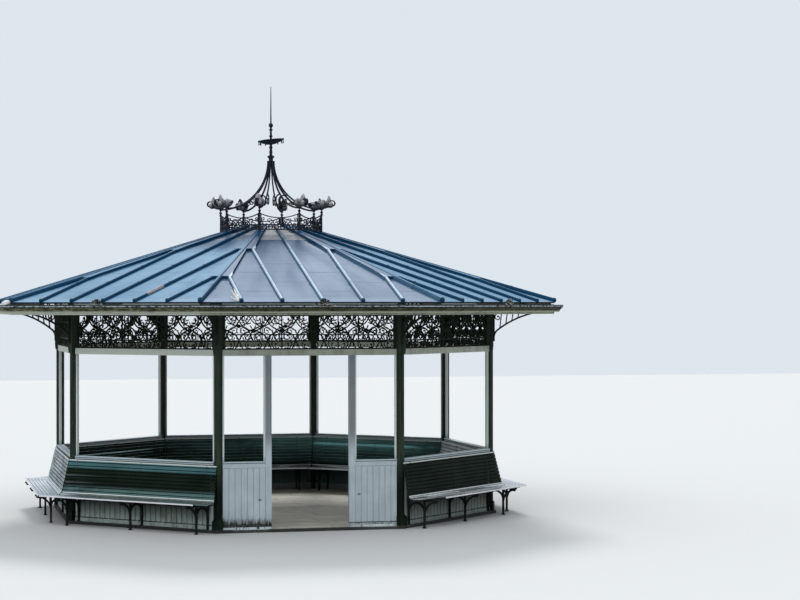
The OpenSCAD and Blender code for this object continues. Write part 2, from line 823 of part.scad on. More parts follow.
// Side view of a cast-iron bench support, from the wall outwards
module iron_outline(foot_z) {
    w = iron_w;
    lap = 3;
    // The straight runs are a little slimmer than the curves and end inside them
    slim = w * 0.9;
    drop = (slat_t + slim) / 2;
    down = [-cos(back_lean), -sin(back_lean)] * drop;
    under = [sin(seat_rise), -cos(seat_rise)] * drop;
    top = bench_point(slat_w) + down;
    line_bar(top, bend_start + down + [sin(back_lean), -cos(back_lean)] * lap, slim);
    translate(bend_mid) arc_bar(bench_curve_r + drop, w, 180 + back_lean, 270 + seat_rise);
    front = bench_point(back_len + bend_len + seat_len - slat_w / 2) + under;
    line_bar(bend_end + under - [cos(seat_rise), sin(seat_rise)] * lap, front, slim);
    seat_low = seat_z - drop;
    translate([rear_leg_d - w / 2, foot_z]) square([w, seat_low - foot_z + 40]);
    translate([front_leg_d - w / 2, 0]) square([w, seat_low - w / 3]);
    arch_r = (front_leg_d - rear_leg_d) / 2;
    arch_top = seat_low - w * 1.6;
    arch_mid = rear_leg_d + arch_r;
    translate([arch_mid, arch_top - arch_r]) arc_bar(arch_r, slim, 0, 180);
    translate([arch_mid - w / 3, arch_top - w / 3]) square([w * 2 / 3, seat_low - arch_top]);
    sweep_r = seat_front_d - front_leg_d - w * 2;
    sweep_top = seat_low - w * 0.9;
    translate([front_leg_d + sweep_r, sweep_top - sweep_r]) arc_bar(sweep_r, slim, 90, 180);
    translate([front_leg_d + sweep_r, sweep_top + w * 0.1]) circle(w * 0.72);
    // Feet
    translate([rear_leg_d - w, foot_z]) square([2 * w, w / 2]);
    translate([front_leg_d - w, 0]) square([2 * w, w / 2]);
}

iron_places = [-half_side + iron_inset, 0, half_side - iron_inset];

module bench_irons() {
    color("#1f2a26") for (k = [1 : sides - 1]) on_side(k) for (x = iron_places)
        translate([x, 0, 0]) along_side(iron_t) iron_outline(floor_t);
}

// Inside, the bench ends stand clear of each other because the octagon narrows
inner_places = [-half_side + inner_iron_inset, 0, half_side - inner_iron_inset];

module inner_bench_irons() {
    color("#1f2a26") for (k = [1 : sides - 1]) on_side(k) for (x = inner_places)
        translate([x, 0, 0]) mirror([0, 1, 0]) along_side(iron_t) intersection() {
            iron_outline(floor_t);
            translate([0, floor_t]) square([seat_front_d, bench_top_z]);
        }
}

module bench(k) {
    color("#2f4a43") on_side(k)
        if (k == 1) bench_slats(1, -1, broken_right, broken_right * 0.92);
        else if (k == sides - 1) bench_slats(1, 1, broken_left);
        else bench_slats(1);
}

module inner_benches() {
    color("#2f4a43") for (k = [1 : sides - 1]) on_side(k) bench_slats(-1);
}

// The leafy crocket on a crown post: a cup with a leaf that curls up outwards and a bud inwards
module crocket() {
    cup = crocket_cup_r;
    rotate_extrude() polygon([
        [0, -crown_die_w / 2],
        [crown_post_w * 0.3, -crown_die_w / 2],
        [crown_post_w * 0.34, cup * 0.26],
        [cup * 0.5, cup * 0.5],
        [cup * 0.86, cup * 0.82],
        [cup, cup * 1.14],
        [cup * 0.9, cup * 1.14],
        [cup * 0.72, cup * 0.9],
        [0, cup * 0.62]
    ]);
    curl_r = crocket_out * 0.2;
    reach = crocket_out - curl_r;
    upright(crown_post_w * 1.7) {
        // The leaf's keel, from the bud through the foot of the cup to the curl
        bow_bar([-cup, cup * 0.95], [crown_post_w * 0.4, cup * 0.4], -cup * 0.22, crown_post_w * 0.8);
        bow_bar([0, cup * 0.4], [reach, curl_r * 1.1], -cup * 0.1, crown_post_w);
        translate([reach, curl_r * 2.1]) {
            arc_bar(curl_r, crown_post_w * 0.6, -100, 70);
            arc_bar(curl_r, crown_post_w * 0.5, 60, 215);
        }
        translate([reach - curl_r * 0.55, curl_r * 1.7]) circle(crown_post_w * 0.5);
        translate([-cup, cup * 1.2]) circle(crown_post_w * 0.9);
    }
}

// A turned crown post: square foot, shaft with collars, knop, and the die that takes the rib
module crown_post() {
    r = crown_post_w / 2;
    die = crown_die_w;
    foot_h = crown_gap_h * 0.7;
    band_z = crown_gap_h + crown_panel_h;
    translate([-die / 2, -die / 2, 0]) cube([die, die, foot_h]);
    rotate_extrude() polygon([
        [0, foot_h / 2],
        [r, foot_h / 2],
        [r * 0.85, band_z - r],
        [r * 1.5, band_z],
        [r * 1.5, band_z + r * 0.8],
        [r * 0.8, band_z + r * 1.6],
        [r * 0.8, band_z + r * 2.2],
        [r * 1.75, band_z + r * 3],
        [r * 1.75, band_z + r * 3.6],
        [r * 0.7, band_z + r * 4.6],
        [r * 0.6, crown_post_h],
        [0, crown_post_h]
    ]);
    translate([0, 0, crown_post_h]) {
        cube(die, center = true);
        crocket();
    }
}

module crown_posts() {
    color("#3a4250") for (k = [0 : sides - 1])
        on_corner(k) translate([crown_r, 0, crown_foot_z]) crown_post();
}

// Half of a crown panel's scrollwork: rings in the lower band, scrolls above
module crown_panel_half(half, mid_z, top_z) {
    b = crown_bar_w * 0.75;
    ring_r = mid_z / 2 - b / 2;
    for (i = [0.5 : 1 : 2.5]) translate([half * i / 3, mid_z / 2 + b / 2]) difference() {
        circle(ring_r + b / 2);
        circle(ring_r - b / 2);
    }
    room = top_z - mid_z;
    translate([half * 0.21, mid_z + room * 0.4]) scroll(room * 0.3, b, -75, 170);
    translate([half * 0.56, mid_z + room * 0.47]) mirror([1, 0]) scroll(room * 0.38, b, -75, 175);
    translate([half * 0.89, mid_z + room * 0.75]) scroll(room * 0.25, b, -90, 170);
}

// One pierced panel between two crown posts, with a scooped top
module crown_panel() {
    half = crown_r * sin(half_turn) - crown_post_w / 2 / cos(half_turn);
    b = crown_bar_w;
    h = crown_panel_h;
    mid_z = h * 0.3;
    dip_z = h - crown_scoop;
    scoop_r = (half * half + crown_scoop * crown_scoop) / 2 / crown_scoop;
    scoop_half = asin(half / scoop_r);
    rotate([90, 0, 0]) linear_extrude(crown_panel_t, center = true) {
        translate([-half, 0]) square([2 * half, b]);
        translate([-half, mid_z]) square([2 * half, b]);
        for (s = [-1, 1]) translate([s * (half - b / 2) - b / 2, 0]) square([b, h]);
        translate([0, dip_z + scoop_r]) arc_bar(scoop_r, b, 270 - scoop_half, 270 + scoop_half);
        translate([0, mid_z]) rotate(90) leaf(dip_z - mid_z, b * 2);
        both_ways() crown_panel_half(half - b, mid_z, dip_z);
    }
}

module crown_panels() {
    crown_a = crown_r * cos(half_turn);
    color("#3a4250") for (k = [0 : sides - 1]) rotate([0, 0, turn * k])
        translate([0, -crown_a, crown_foot_z + crown_gap_h]) crown_panel();
}

// Distance from a point under the rib to the rib's middle line
function under_rib(r, h) = norm([crown_r - r, rib_r - h]) - rib_r;

// Direction from that point to the nearest place on the rib
function to_rib(r, h) = atan2(rib_r - h, crown_r - r);

// A rib butts on its post's die, sweeps in and up to the collar, and carries two scrolls
module crown_rib() {
    thick = rib_w * 0.7;
    inner = [crown_r * 0.285, rib_r * 0.19];
    outer = [crown_r * 0.44, rib_r * 0.14];
    translate([0, 0, crown_top_z]) difference() {
        union() {
            translate([crown_r, 0, rib_r]) rotate([90, 0, 0]) rotate([0, 0, 180])
                rotate_extrude(angle = 90, $fn = 4 * $fn)
                    translate([rib_r, 0]) square([rib_w, thick], center = true);
            upright(thick * 0.8) {
                translate(inner) rotate(to_rib(inner[0], inner[1]))
                    scroll(under_rib(inner[0], inner[1]), thick, 0, 175);
                translate(outer) rotate(to_rib(outer[0], outer[1])) mirror([0, 1])
                    scroll(under_rib(outer[0], outer[1]), thick * 0.8, 0, 170);
            }
        }
        translate([crown_r, 0, 0]) cube([crown_die_w, 2 * crown_die_w, 2 * crown_die_w], center = true);
    }
}

module crown_ribs() {
    color("#3a4250") for (k = [0 : sides - 1]) on_corner(k) crown_rib();
}

// The shallow dish of the finial with its rim knob, sunk a little to one side
module finial_dish() {
    wall = 10;
    translate([0, 0, dish_rise]) rotate([0, 0, dish_turn]) rotate([0, -dish_tilt, 0]) {
        rotate_extrude() polygon([
            [0, -dish_r * 0.3],
            [dish_r * 0.35, -dish_r * 0.26],
            [dish_r * 0.75, -dish_r * 0.12],
            [dish_r, wall / 2],
            [dish_r, wall * 1.5],
            [dish_r * 0.7, wall * 0.8],
            [0, wall * 0.6]
        ]);
        translate([dish_r - wall, 0, wall]) sphere(wall * 1.5);
    }
}

// The turned finial: collar, mast, shallow dish, ball and spike
module finial() {
    core = collar_core_r;
    color("#3a4250") translate([0, 0, collar_z]) {
        rotate_extrude() polygon([
            [0, rib_r - crown_collar_h - rib_w],
            [core, rib_r - crown_collar_h - rib_w],
            [core, -collar_r * 0.6],
            [collar_r, -collar_r * 0.1],
            [collar_r, collar_r * 0.16],
            [core * 0.7, collar_r * 0.5],
            [core * 0.55, dish_rise],
            [core * 0.5, ball_rise],
            [core * 0.35, ball_rise + ball_r],
            [core * 0.15, finial_h],
            [0, finial_h]
        ]);
        translate([0, 0, ball_rise]) sphere(ball_r);
        finial_dish();
    }
}

floor_slab();  // floor
columns();
for (k = [1 : sides - 1]) {
    wall(k);
    bench(k);
}
door_side(-1);  // door_side_left
door_side(1);  // door_side_right
head_rails();
window_beads();
for (k = [0 : sides - 1])
    frieze(k);
eaves_beams();
king_post();
rafters();
roof_boards();
roof_sheets();
hip_rolls();
roof_cap();
fascia();
gutter();
brackets();
bench_irons();
inner_benches();
inner_bench_irons();
crown_posts();
crown_panels();
crown_ribs();
finial();
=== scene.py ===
# %% [markdown]
# # A park bandstand, dressed in Blender
# The frame is the imported CAD model: its pieces are at their real size and place. This lesson adds the
# finishes and the small parts that a joiner, a founder and a roofer would add.

# %% Load the frame
import random
from math import atan2, cos, pi, radians, sin, sqrt, tan, tau

import bmesh
import bpy
from mathutils import Matrix, Vector


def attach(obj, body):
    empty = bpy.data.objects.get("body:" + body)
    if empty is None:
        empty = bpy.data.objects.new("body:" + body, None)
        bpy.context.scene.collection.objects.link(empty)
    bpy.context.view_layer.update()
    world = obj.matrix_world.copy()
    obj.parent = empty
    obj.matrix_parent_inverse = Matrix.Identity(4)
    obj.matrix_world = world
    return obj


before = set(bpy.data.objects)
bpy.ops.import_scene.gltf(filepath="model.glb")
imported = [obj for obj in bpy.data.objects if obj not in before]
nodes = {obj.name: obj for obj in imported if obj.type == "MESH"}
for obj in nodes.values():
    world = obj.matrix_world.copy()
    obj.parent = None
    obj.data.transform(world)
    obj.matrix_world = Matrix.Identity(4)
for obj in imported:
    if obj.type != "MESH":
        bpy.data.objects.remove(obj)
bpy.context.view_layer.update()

# %% [markdown]
# ## Sizes of the frame
# The finishes and the added pieces share these sizes, in metres, with the frame. They could be measured on
# its meshes, but a name for each one keeps the sums readable.

# %% Sizes
TURN = tau / 8
CIRCLE_R = 3.5
APOTHEM = CIRCLE_R * cos(TURN / 2)
HALF_SIDE = CIRCLE_R * sin(TURN / 2)
FLOOR_Z = 0.04
DADO_Z = 1.013
HEAD_Z = 2.535
COLUMN_W = 0.116
SHAFT_END = HALF_SIDE - COLUMN_W / 2
DOOR_POST_OUT = 1.143 / 2 + 0.086
BACK_TOP_Z = 0.97
SEAT_Z = 0.44
EAVE_R = 4.534
EAVE_A = EAVE_R * cos(TURN / 2)
EAVE_Z = 3.311
ROOF_RISE = 1.309
APEX_Z = EAVE_Z + ROOF_RISE
HIP_SLOPE = atan2(ROOF_RISE, EAVE_R)
FACET_SLOPE = atan2(ROOF_RISE, EAVE_A)
FACET_LEN = EAVE_A / cos(FACET_SLOPE)
HALF_EAVE = EAVE_A * tan(TURN / 2)
CROWN_R = 0.824
COLLAR_OUT = 1.11
print("apothem", round(APOTHEM, 4), "half a side", round(HALF_SIDE, 4))

# %% [markdown]
# ## The camera
# The photograph was taken from a little over the doorway's height, with a long lens. A camera could be moved
# by eye until it fits, but these values were solved from the corners of the octagon, for an image of 800 by
# 600, so that the model falls on the photograph.

# %% The camera
def put(name, data):
    """Makes an object of some data and puts it in the scene."""
    thing = bpy.data.objects.new(name, data)
    bpy.context.scene.collection.objects.link(thing)
    return thing


CAMERA_PLACE = Vector((-5.881, -33.236, 3.26))
CAMERA_YAW = 0.2362
CAMERA_PITCH = 0.0025
CAMERA_ROLL = -0.001
LENS_MM = 94.94

camera_data = bpy.data.cameras.new("camera")
camera_data.lens = LENS_MM
camera_data.sensor_width = 36.0
camera_data.clip_end = 200.0
camera = put("camera", camera_data)
camera.matrix_world = (
    Matrix.Translation(CAMERA_PLACE)
    @ Matrix.Rotation(-CAMERA_YAW, 4, "Z")
    @ Matrix.Rotation(pi / 2 + CAMERA_PITCH, 4, "X")
    @ Matrix.Rotation(CAMERA_ROLL, 4, "Z")
)
bpy.context.scene.camera = camera
bpy.context.scene.view_settings.view_transform = "Standard"
print("camera at", tuple(round(v, 2) for v in camera.location))

# %% [markdown]
# ## Shader sums in Python
# A finish is a small program: noise, ramps and sums of masks. Its nodes could be made and linked one by one,
# but that is long and hard to read. So a socket is wrapped in a class that knows plus, minus, times and
# divide, and a sum such as `1 - mask` adds its own Math node. Every other node comes from one method, `add`.

# %% A socket that can be used in sums
class Wire:
    """One output socket of a finish, usable in Python sums."""

    def __init__(self, finish, socket):
        self.finish = finish
        self.socket = socket

    def sum(self, operation, a, b, clamp=False):
        return self.finish.add("ShaderNodeMath", {"operation": operation, "use_clamp": clamp}, {0: a, 1: b})

    def __add__(self, other):
        return self.sum("ADD", self, other)

    def __radd__(self, other):
        return self.sum("ADD", other, self)

    def __sub__(self, other):
        return self.sum("SUBTRACT", self, other)

    def __rsub__(self, other):
        return self.sum("SUBTRACT", other, self)

    def __mul__(self, other):
        return self.sum("MULTIPLY", self, other)

    def __rmul__(self, other):
        return self.sum("MULTIPLY", other, self)

    def __truediv__(self, other):
        return self.sum("DIVIDE", self, other)

    def __rtruediv__(self, other):
        return self.sum("DIVIDE", other, self)

    def __pow__(self, other):
        return self.sum("POWER", self, other)

    def at_most(self, other):
        return self.sum("MINIMUM", self, other)

    def at_least(self, other):
        return self.sum("MAXIMUM", self, other)

    def size(self):
        """The value without its sign."""
        return self.sum("ABSOLUTE", self, 0.0)

    def over(self, low, high):
        """A soft step from 0 at low to 1 at high. Low may lie above high."""
        return self.sum("MULTIPLY", self - low, 1 / (high - low), clamp=True)

    def within(self, start, low, high, end):
        """A soft band: 0 below start, 1 from low to high, 0 above end."""
        return self.over(start, low) * self.over(end, high)


# %% A tree of nodes, and a finish
class Tree:
    """A node tree that is built from sums of masks."""

    def __init__(self, tree):
        self.nodes = tree.nodes
        self.links = tree.links

    def add(self, kind, settings, sockets, output=0):
        """Adds a node with its settings and sockets, and wires one output."""
        node = self.nodes.new(kind)
        for key, value in settings.items():
            setattr(node, key, value)
        for key, value in sockets.items():
            self.join(value, node.inputs[key])
        return Wire(self, node.outputs[output])

    def join(self, value, socket):
        """Links a wire to a socket, or sets a plain value on it."""
        if isinstance(value, Wire):
            self.links.new(value.socket, socket)
        elif isinstance(value, tuple) and len(value) == 3 and len(socket.default_value) == 4:
            socket.default_value = (*value, 1)
        else:
            socket.default_value = value

    def axis(self, vector, letter):
        return self.add("ShaderNodeSeparateXYZ", {}, {0: vector}, letter)


class Finish(Tree):
    """A material whose masks feed one Principled shader."""

    def __init__(self, name):
        self.material = bpy.data.materials.new(name)
        self.material.use_nodes = True
        super().__init__(self.material.node_tree)
        self.shader = self.nodes["Principled BSDF"]
        self.place = self.add("ShaderNodeTexCoord", {}, {}, "Object")
        self.x, self.y, self.up = [self.axis(self.place, letter) for letter in "XYZ"]
        self.colour = None

    def set(self, **values):
        """Sets sockets of the shader: set(Base_Color=..., Roughness=...)."""
        for key, value in values.items():
            self.join(value, self.shader.inputs[key.replace("_", " ")])
        return self

    def stretched(self, x, y, z):
        """The place on the object with each axis scaled, for streaks and grain."""
        return self.add("ShaderNodeMapping", {}, {"Vector": self.place, "Scale": (x, y, z)})

    def noise(self, size, detail=3.0, rough=0.55, where=None):
        """Soft noise from 0 to 1 with features of a size in metres, at a place or with stretched axes."""
        if isinstance(where, tuple):
            where = self.stretched(*where)
        sockets = {"Vector": where or self.place, "Scale": 1 / size, "Detail": detail, "Roughness": rough}
        return self.add("ShaderNodeTexNoise", {}, sockets, "Fac")

    def mix(self, share, a, b):
        """Colour a where share is 0, colour b where it is 1."""
        return self.add("ShaderNodeMix", {"data_type": "RGBA"}, {0: share, 6: a, 7: b}, 2)

    def coat(self, share, colour):
        """Lays one more colour over the finish, where share is above 0."""
        self.colour = self.mix(share, self.colour, colour)

    def point(self, x, y, z):
        return self.add("ShaderNodeCombineXYZ", {}, {0: x, 1: y, 2: z})

    def around(self):
        """Angle round the middle of the bandstand."""
        return self.add("ShaderNodeMath", {"operation": "ARCTAN2"}, {0: self.y, 1: self.x})

    def facing(self, letter):
        """One part of the surface's normal, from -1 to 1."""
        return self.axis(self.add("ShaderNodeNewGeometry", {}, {}, "Normal"), letter)

    def octagon(self):
        """Distance out, square to the sides, and distance along a side from its middle."""
        x, y = self.x, self.y
        out = x.size().at_least(y.size()).at_least((x.size() + y.size()) * sqrt(0.5))
        return out, (x * x + y * y - out * out).at_least(0.0) ** 0.5

    def done(self, height, distance, strength, rough, shine=0.5, **values):
        """Joins the colour, a Bump node of a height, the roughness and the rest to the shader."""
        bump = self.add("ShaderNodeBump", {}, {"Height": height, "Distance": distance, "Strength": strength})
        values.update(Base_Color=self.colour, Normal=bump, Roughness=rough, Specular_IOR_Level=shine)
        return self.set(**values)


def paint(finish, *names):
    """Gives CAD nodes or pieces a finish as their only material."""
    for name in names:
        piece = nodes[name] if isinstance(name, str) else name
        piece.data.materials.clear()
        piece.data.materials.append(finish.material)

# %% [markdown]
# ## Painted timber
# The posts, benches and boards have decades of gloss paint on them. Paint is never one colour: rain thins it
# on edges and low down, dirt gathers under ledges, and damp climbs from the ground. A picture of old paint
# could be wrapped round each piece, but masks made of heights, distances and noise suit every piece and
# size. Each finish is a paint colour, then masks that darken, bleach or bare it, and a little bump for brush
# marks and grain. Some of these masks are painted light and shade: shade under and behind the seats, low on
# the columns and indoors, and light on faces that turn west.

# %% Dark green paint of the columns
def green_paint():
    """Dark green gloss, browned by weather, greyer and mossy at the foot, with painted shade below a metre.
    """
    f = Finish("green_paint")
    up = f.up
    streaks = f.noise(0.35, 4, where=(9, 9, 0.6))
    patches = f.noise(0.22, 3)
    chips = f.noise(0.018, 4, 0.7, (1, 1, 0.45)).over(0.66, 0.7)
    foot = up.over(1.0, 0.55)
    moss = up.over(0.3, 0.04) * patches.over(0.4, 0.6)
    f.colour = f.mix(streaks.over(0.35, 0.7), (0.012, 0.023, 0.016), (0.04, 0.05, 0.037))
    # Painted shade: the column darkens towards near black below a metre
    f.coat(foot * 0.92, (0.002, 0.006, 0.004))
    f.coat(moss * 0.5, (0.022, 0.04, 0.024))
    f.coat(chips * 0.75, (0.16, 0.15, 0.12))
    return f.done(streaks * 0.6 - chips + patches * 0.5, 0.002, 0.5, 0.45 + streaks * 0.25, 0.05)


# %% Dirty white paint of the boarding
# A near black used for dirt, and for painted shade in joints and on upright faces
DIRT_AND_SHADE = (0.012, 0.015, 0.013)
SHADE = (0.008, 0.014, 0.015)


def white_boarding(name="white_boarding", rot=0.0, rot_top=0.0, knot=None):
    """Dirty blue-grey white. Rot climbs in thin drips to rot_top in metres; a knot shows at (x, z)."""
    f = Finish(name)
    up = f.up
    streaks = f.noise(0.05, 4, where=(1.6, 1.6, 0.1))
    cloud = f.noise(0.3, 3)
    specks = f.noise(0.012, 3, 0.7).over(0.7, 0.76)
    out, along = f.octagon()
    f.colour = f.mix(cloud.over(0.3, 0.72), (0.37, 0.435, 0.47), (0.49, 0.545, 0.578))
    f.coat(streaks.over(0.45, 0.75) * 0.5, (0.31, 0.365, 0.4))
    height = streaks * 0.5 + cloud * 0.3
    if rot:
        # Thin dark drips that start at the foot and die out at different heights
        drips = f.noise(0.022, 3, 0.6, (1, 1, 0.1))
        ragged = f.noise(0.04, 4, 0.65, (1.4, 1.4, 0.35))
        climb = up.over(rot_top, 0.05)
        stain = (climb + drips * 1.1 + ragged * 0.5 - 1.02).over(0.0, 0.3)
        bare = (climb * 0.9 + drips * 1.2 + ragged * 0.6 - 1.42).over(0.0, 0.14)
        crumbs = f.noise(0.02, 4, 0.7).over(0.48, 0.6) * up.over(0.075, 0.11)
        f.coat(stain * 0.65, (0.12, 0.135, 0.122))
        f.coat(bare * rot, (0.01, 0.011, 0.009))
        f.coat(bare * crumbs * 0.7, (0.15, 0.165, 0.15))
        height = height - bare * 2.5
        # Above the sill the posts turn a darker mauve grey, partly weathering and partly painted shade;
        # faces that turn west keep the pale paint as painted light
        aged_and_shaded = up.over(1.15, 1.4) * (0.6 + cloud * 0.4)
        aged_and_shaded = aged_and_shaded * (1 - f.facing("X").over(-0.4, -0.8))
        f.coat(aged_and_shaded * 0.95, (0.125, 0.14, 0.155))
    else:
        # Under the benches the boards carry painted light and shade: low down a green-grey, paler on the
        # left and darker on the right, and painted shade just below the seat and behind its back, but not
        # next to the columns
        green = f.noise(0.09, 4, where=(1, 1, 0.35))
        under = 1 - along.over(1.2, 1.25)
        pale = f.mix(f.x.over(-0.5, 0.5), (0.42, 0.51, 0.47), (0.28, 0.33, 0.3))
        f.coat(up.over(0.5, 0.4), pale)
        shade_below_seat = up.within(0.12, 0.36, 0.48, 0.56)
        shade_behind_back = up.within(0.46, 0.49, 0.965, 0.975)
        f.coat((shade_below_seat + shade_behind_back * 0.9).at_most(1.0) * under, (0.01, 0.014, 0.012))
        f.coat(up.over(0.45, 0.3) * green.over(0.5, 0.62) * 0.5, (0.12, 0.14, 0.11))
        # Indoors, under the inner benches, painted shade makes them dark green-grey down to the skirting,
        # with a less dark band at the skirting's top edge
        inside = out.over(APOTHEM, APOTHEM - 0.014) * up.over(0.5, 0.46)
        edge = up.within(0.062, 0.078, 0.12, 0.135)
        low = f.mix(edge, (0.03, 0.06, 0.056), (0.095, 0.12, 0.105))
        f.coat(inside * 0.9, low)
    # Dirt and painted shade darken the joints between the boards, and dirt packs the top of the plinth
    boards = up.within(0.105, 0.112, 0.915, 0.92)
    joint = (out - APOTHEM).size().over(0.0385, 0.0365) * boards
    f.coat(joint * (0.3 if rot else 0.65), DIRT_AND_SHADE)
    ledge = up.within(0.096, 0.1, 0.114, 0.118)
    f.coat(ledge * streaks.over(0.3, 0.45) * 0.85, DIRT_AND_SHADE)
    if rot:
        plinth = up.within(0.042, 0.048, 0.07, 0.08) * ragged.over(0.36, 0.46)
        f.coat(plinth * 0.9, (0.6, 0.66, 0.67))
    if knot:
        x, z = f.x - knot[0], (up - knot[1]) * 1.4
        uneven = f.noise(0.012, 3, 0.7) * 0.022 - 0.011
        spot = ((x * x + z * z) ** 0.5 + uneven).over(0.03, 0.018)
        f.coat(spot * 0.8, (0.075, 0.07, 0.065))
    f.coat(specks * 0.35, (0.055, 0.055, 0.045))
    return f.done(height, 0.0015, 0.5, 0.55 + streaks * 0.2, 0.2)


# %% Off-white joinery: rails, beads and fascia
def white_joinery(name, light, dark, dirt=0.5, upper=None, under=0.0, above=0.0):
    """Paint on planed timber, with another tone above the sill, and painted shade above or under a height.
    """
    f = Finish(name)
    up = f.up
    runs = f.noise(0.09, 4, where=(1, 1, 0.25))
    patches = f.noise(0.42, 3)
    stain = (runs.over(0.42, 0.72) * 0.6 + patches.over(0.5, 0.75) * 0.5) * dirt
    flakes = f.noise(0.014, 4, 0.7).over(0.69, 0.73)
    # Faces that turn west get painted light: they hold less stain, and above the sill they are paler
    lit_west = f.facing("X").over(-0.45, -0.65)
    over_sill = up.over(1.05, 1.1)
    stain = stain * (1 - lit_west * 0.5)
    f.colour = f.mix(stain.at_most(1.0), light, dark)
    if upper:
        f.coat(over_sill * 0.85, upper)
    f.coat(lit_west * over_sill * 0.6, (0.62, 0.68, 0.62))
    if above:
        f.coat(up.over(above, above + 0.01) * 0.95, SHADE)
    if under:
        f.coat(up.over(under + 0.002, under - 0.002) * 0.95, SHADE)
    f.coat(flakes * 0.5 * dirt, (0.12, 0.11, 0.085))
    return f.done(runs * 0.6 - flakes * 1.2, 0.0012, 0.45, 0.48 + runs * 0.2)


# %% Bench slats: dark green gloss, bleached and worn where people sit
def bench_slats():
    """Green gloss with teal painted sheen on the backs; wear whitens the seat and its front edge."""
    f = Finish("bench_slats")
    grain = f.noise(0.03, 4, 0.6)
    blotch = f.noise(0.5, 3)
    wear = f.noise(0.09, 5, 0.7)
    up = f.facing("Z")
    x, y, z = f.x, f.y, f.up
    out, _ = f.octagon()
    from_wall = (out - APOTHEM).size()
    left = x.over(0.4, -0.4)
    outside = out.over(APOTHEM, APOTHEM + 0.01)
    # Streaks that follow each slat, because rain and sitters wear the slats one by one
    streak = f.noise(1.0, 4, 0.6, f.point(from_wall * 15.0, f.around() * 3.5, z * 2.0))
    lit_west = f.facing("X").over(-0.75, -0.92)
    # From the seat's front edge up to the crest of the back
    front = from_wall.over(0.543, 0.548) * up.over(-0.6, -0.2)
    line = z.within(0.458, 0.466, 0.48, 0.486) * up.over(0.2, 0.38)
    seat = z.over(0.5, 0.47) * up.over(0.6, 0.8)
    bend = z.over(0.6, 0.54) * up.over(0.05, 0.2) * left * x.over(-3.6, -3.3) * outside
    top = z.within(0.835, 0.85, 0.961, 0.966) * up.over(-0.1, 0.3) * x.over(1.2, -0.6) * (1 - lit_west) * outside
    crest = z.within(0.944, 0.949, 0.961, 0.966) * up.over(-0.2, 0.1)
    # The backs of the inner benches opposite the doorway get painted light: teal, a bright strip on the
    # right, and highlights on upward edges at the back
    far = (1 - outside) * y.over(1.0, 1.6) * z.over(0.5, 0.56)
    lit = far * x.over(-1.5, 1.4)
    sunny = far * x.over(1.25, 1.4) * z.within(0.81, 0.822, 0.86, 0.872)
    ledge = z.over(0.55, 0.6) * up.over(0.3, 0.42) * y.over(0.5, 1.5)
    f.colour = f.mix(blotch.over(0.3, 0.7), (0.003, 0.008, 0.005), (0.01, 0.017, 0.011))
    # Painted highlights: teal on the bend of the left outer benches and on the tops of the backs, and
    # painted reflection that makes faces turning west pale, palest on the right
    f.coat(bend * streak.over(0.25, 0.45) * 0.9, (0.11, 0.19, 0.185))
    f.coat(lit_west * (0.4 + 0.6 * streak.over(0.35, 0.6)), (0.42, 0.46, 0.49))
    f.coat(lit_west * x.over(0.0, 1.0) * streak.over(0.35, 0.55) * 0.8, (0.72, 0.76, 0.79))
    f.coat(top * (0.55 + 0.4 * streak.over(0.35, 0.55)), (0.08, 0.19, 0.205))
    teal = f.mix(z.over(0.7, 0.82), (0.038, 0.085, 0.078), (0.12, 0.265, 0.255))
    f.coat(lit * (0.6 + 0.4 * streak.over(0.35, 0.6)), teal)
    f.coat(sunny * streak.over(0.3, 0.42) * 0.95, (0.3, 0.7, 0.74))
    f.coat(ledge * streak.over(0.36, 0.46), (0.42, 0.68, 0.68))
    # Wear whitens the seats, drawn paler on the left and darker on the right as painted light and shade; the
    # seats at the far sides get a pale blue painted light
    worn_and_lit = f.mix(left, (0.34, 0.385, 0.39), (0.05, 0.06, 0.052))
    white = f.mix(left, (0.76, 0.8, 0.82), (0.13, 0.15, 0.14))
    f.coat(seat * (0.2 + 0.8 * streak.over(0.4, 0.52)), worn_and_lit)
    f.coat(seat * (wear * 0.5 + streak).over(0.72, 0.86) * 0.9, white)
    f.coat(seat * x.size().over(3.2, 3.5) * 0.75, (0.56, 0.65, 0.74))
    f.coat(line * wear.over(0.25, 0.4) * 0.95, (0.74, 0.79, 0.79))
    f.coat(crest * wear.over(0.26, 0.38) * 0.95, (0.56, 0.61, 0.58))
    f.coat(front * wear.over(0.28, 0.38) * 0.95, (0.78, 0.77, 0.8))
    return f.done(grain * 0.4 + wear * 0.8, 0.0012, 0.4, 0.45 + wear * 0.22, 0.04,
                  Coat_Weight=seat * (0.4 + 0.6 * streak), Coat_Roughness=0.22)


# %% [markdown]
# ## Iron, sheet metal, stone and old timber
# Cast iron takes paint thickly and rusts at its joints. The roof is dull blue-grey sheet: rain draws it in
# streaks down the slope, and each sheet lies a little unevenly, which shows in its reflections. Streaks
# could simply run along Z, but a noise on the angle round the building and the distance out follows every
# slope. Upright faces of the roof get painted shade, and its rolls over the doorway painted light. The
# joints of the stone floor are real gaps in the mesh, so its finish adds the stone, with painted shade on
# upright faces and the rim.

# %% Painted cast iron
def cast_iron(name, base, sheen, rust=0.0, lichen=0.0):
    """Dark paint on a sand-cast skin, with rust and pale lichen as shares of the surface."""
    f = Finish(name)
    skin = f.noise(0.006, 3, 0.6)
    patches = f.noise(0.055, 4, 0.65)
    f.colour = f.mix(patches.over(0.35, 0.68), base, sheen)
    if rust:
        spread = f.noise(0.034, 5, 0.7)
        f.coat(spread.over(0.66 - rust * 0.2, 0.72 - rust * 0.2) * 0.8, (0.105, 0.05, 0.026))
    if lichen:
        crust = f.noise(0.026, 5, 0.72)
        crust = crust.over(0.62 - lichen * 0.25, 0.7 - lichen * 0.25) * f.facing("Z").over(-0.5, 0.5)
        f.coat(crust * 0.9, (0.42, 0.42, 0.425))
    return f.done(skin * 0.5 + patches, 0.0012, 0.5, 0.5 + patches * 0.3, 0.05)


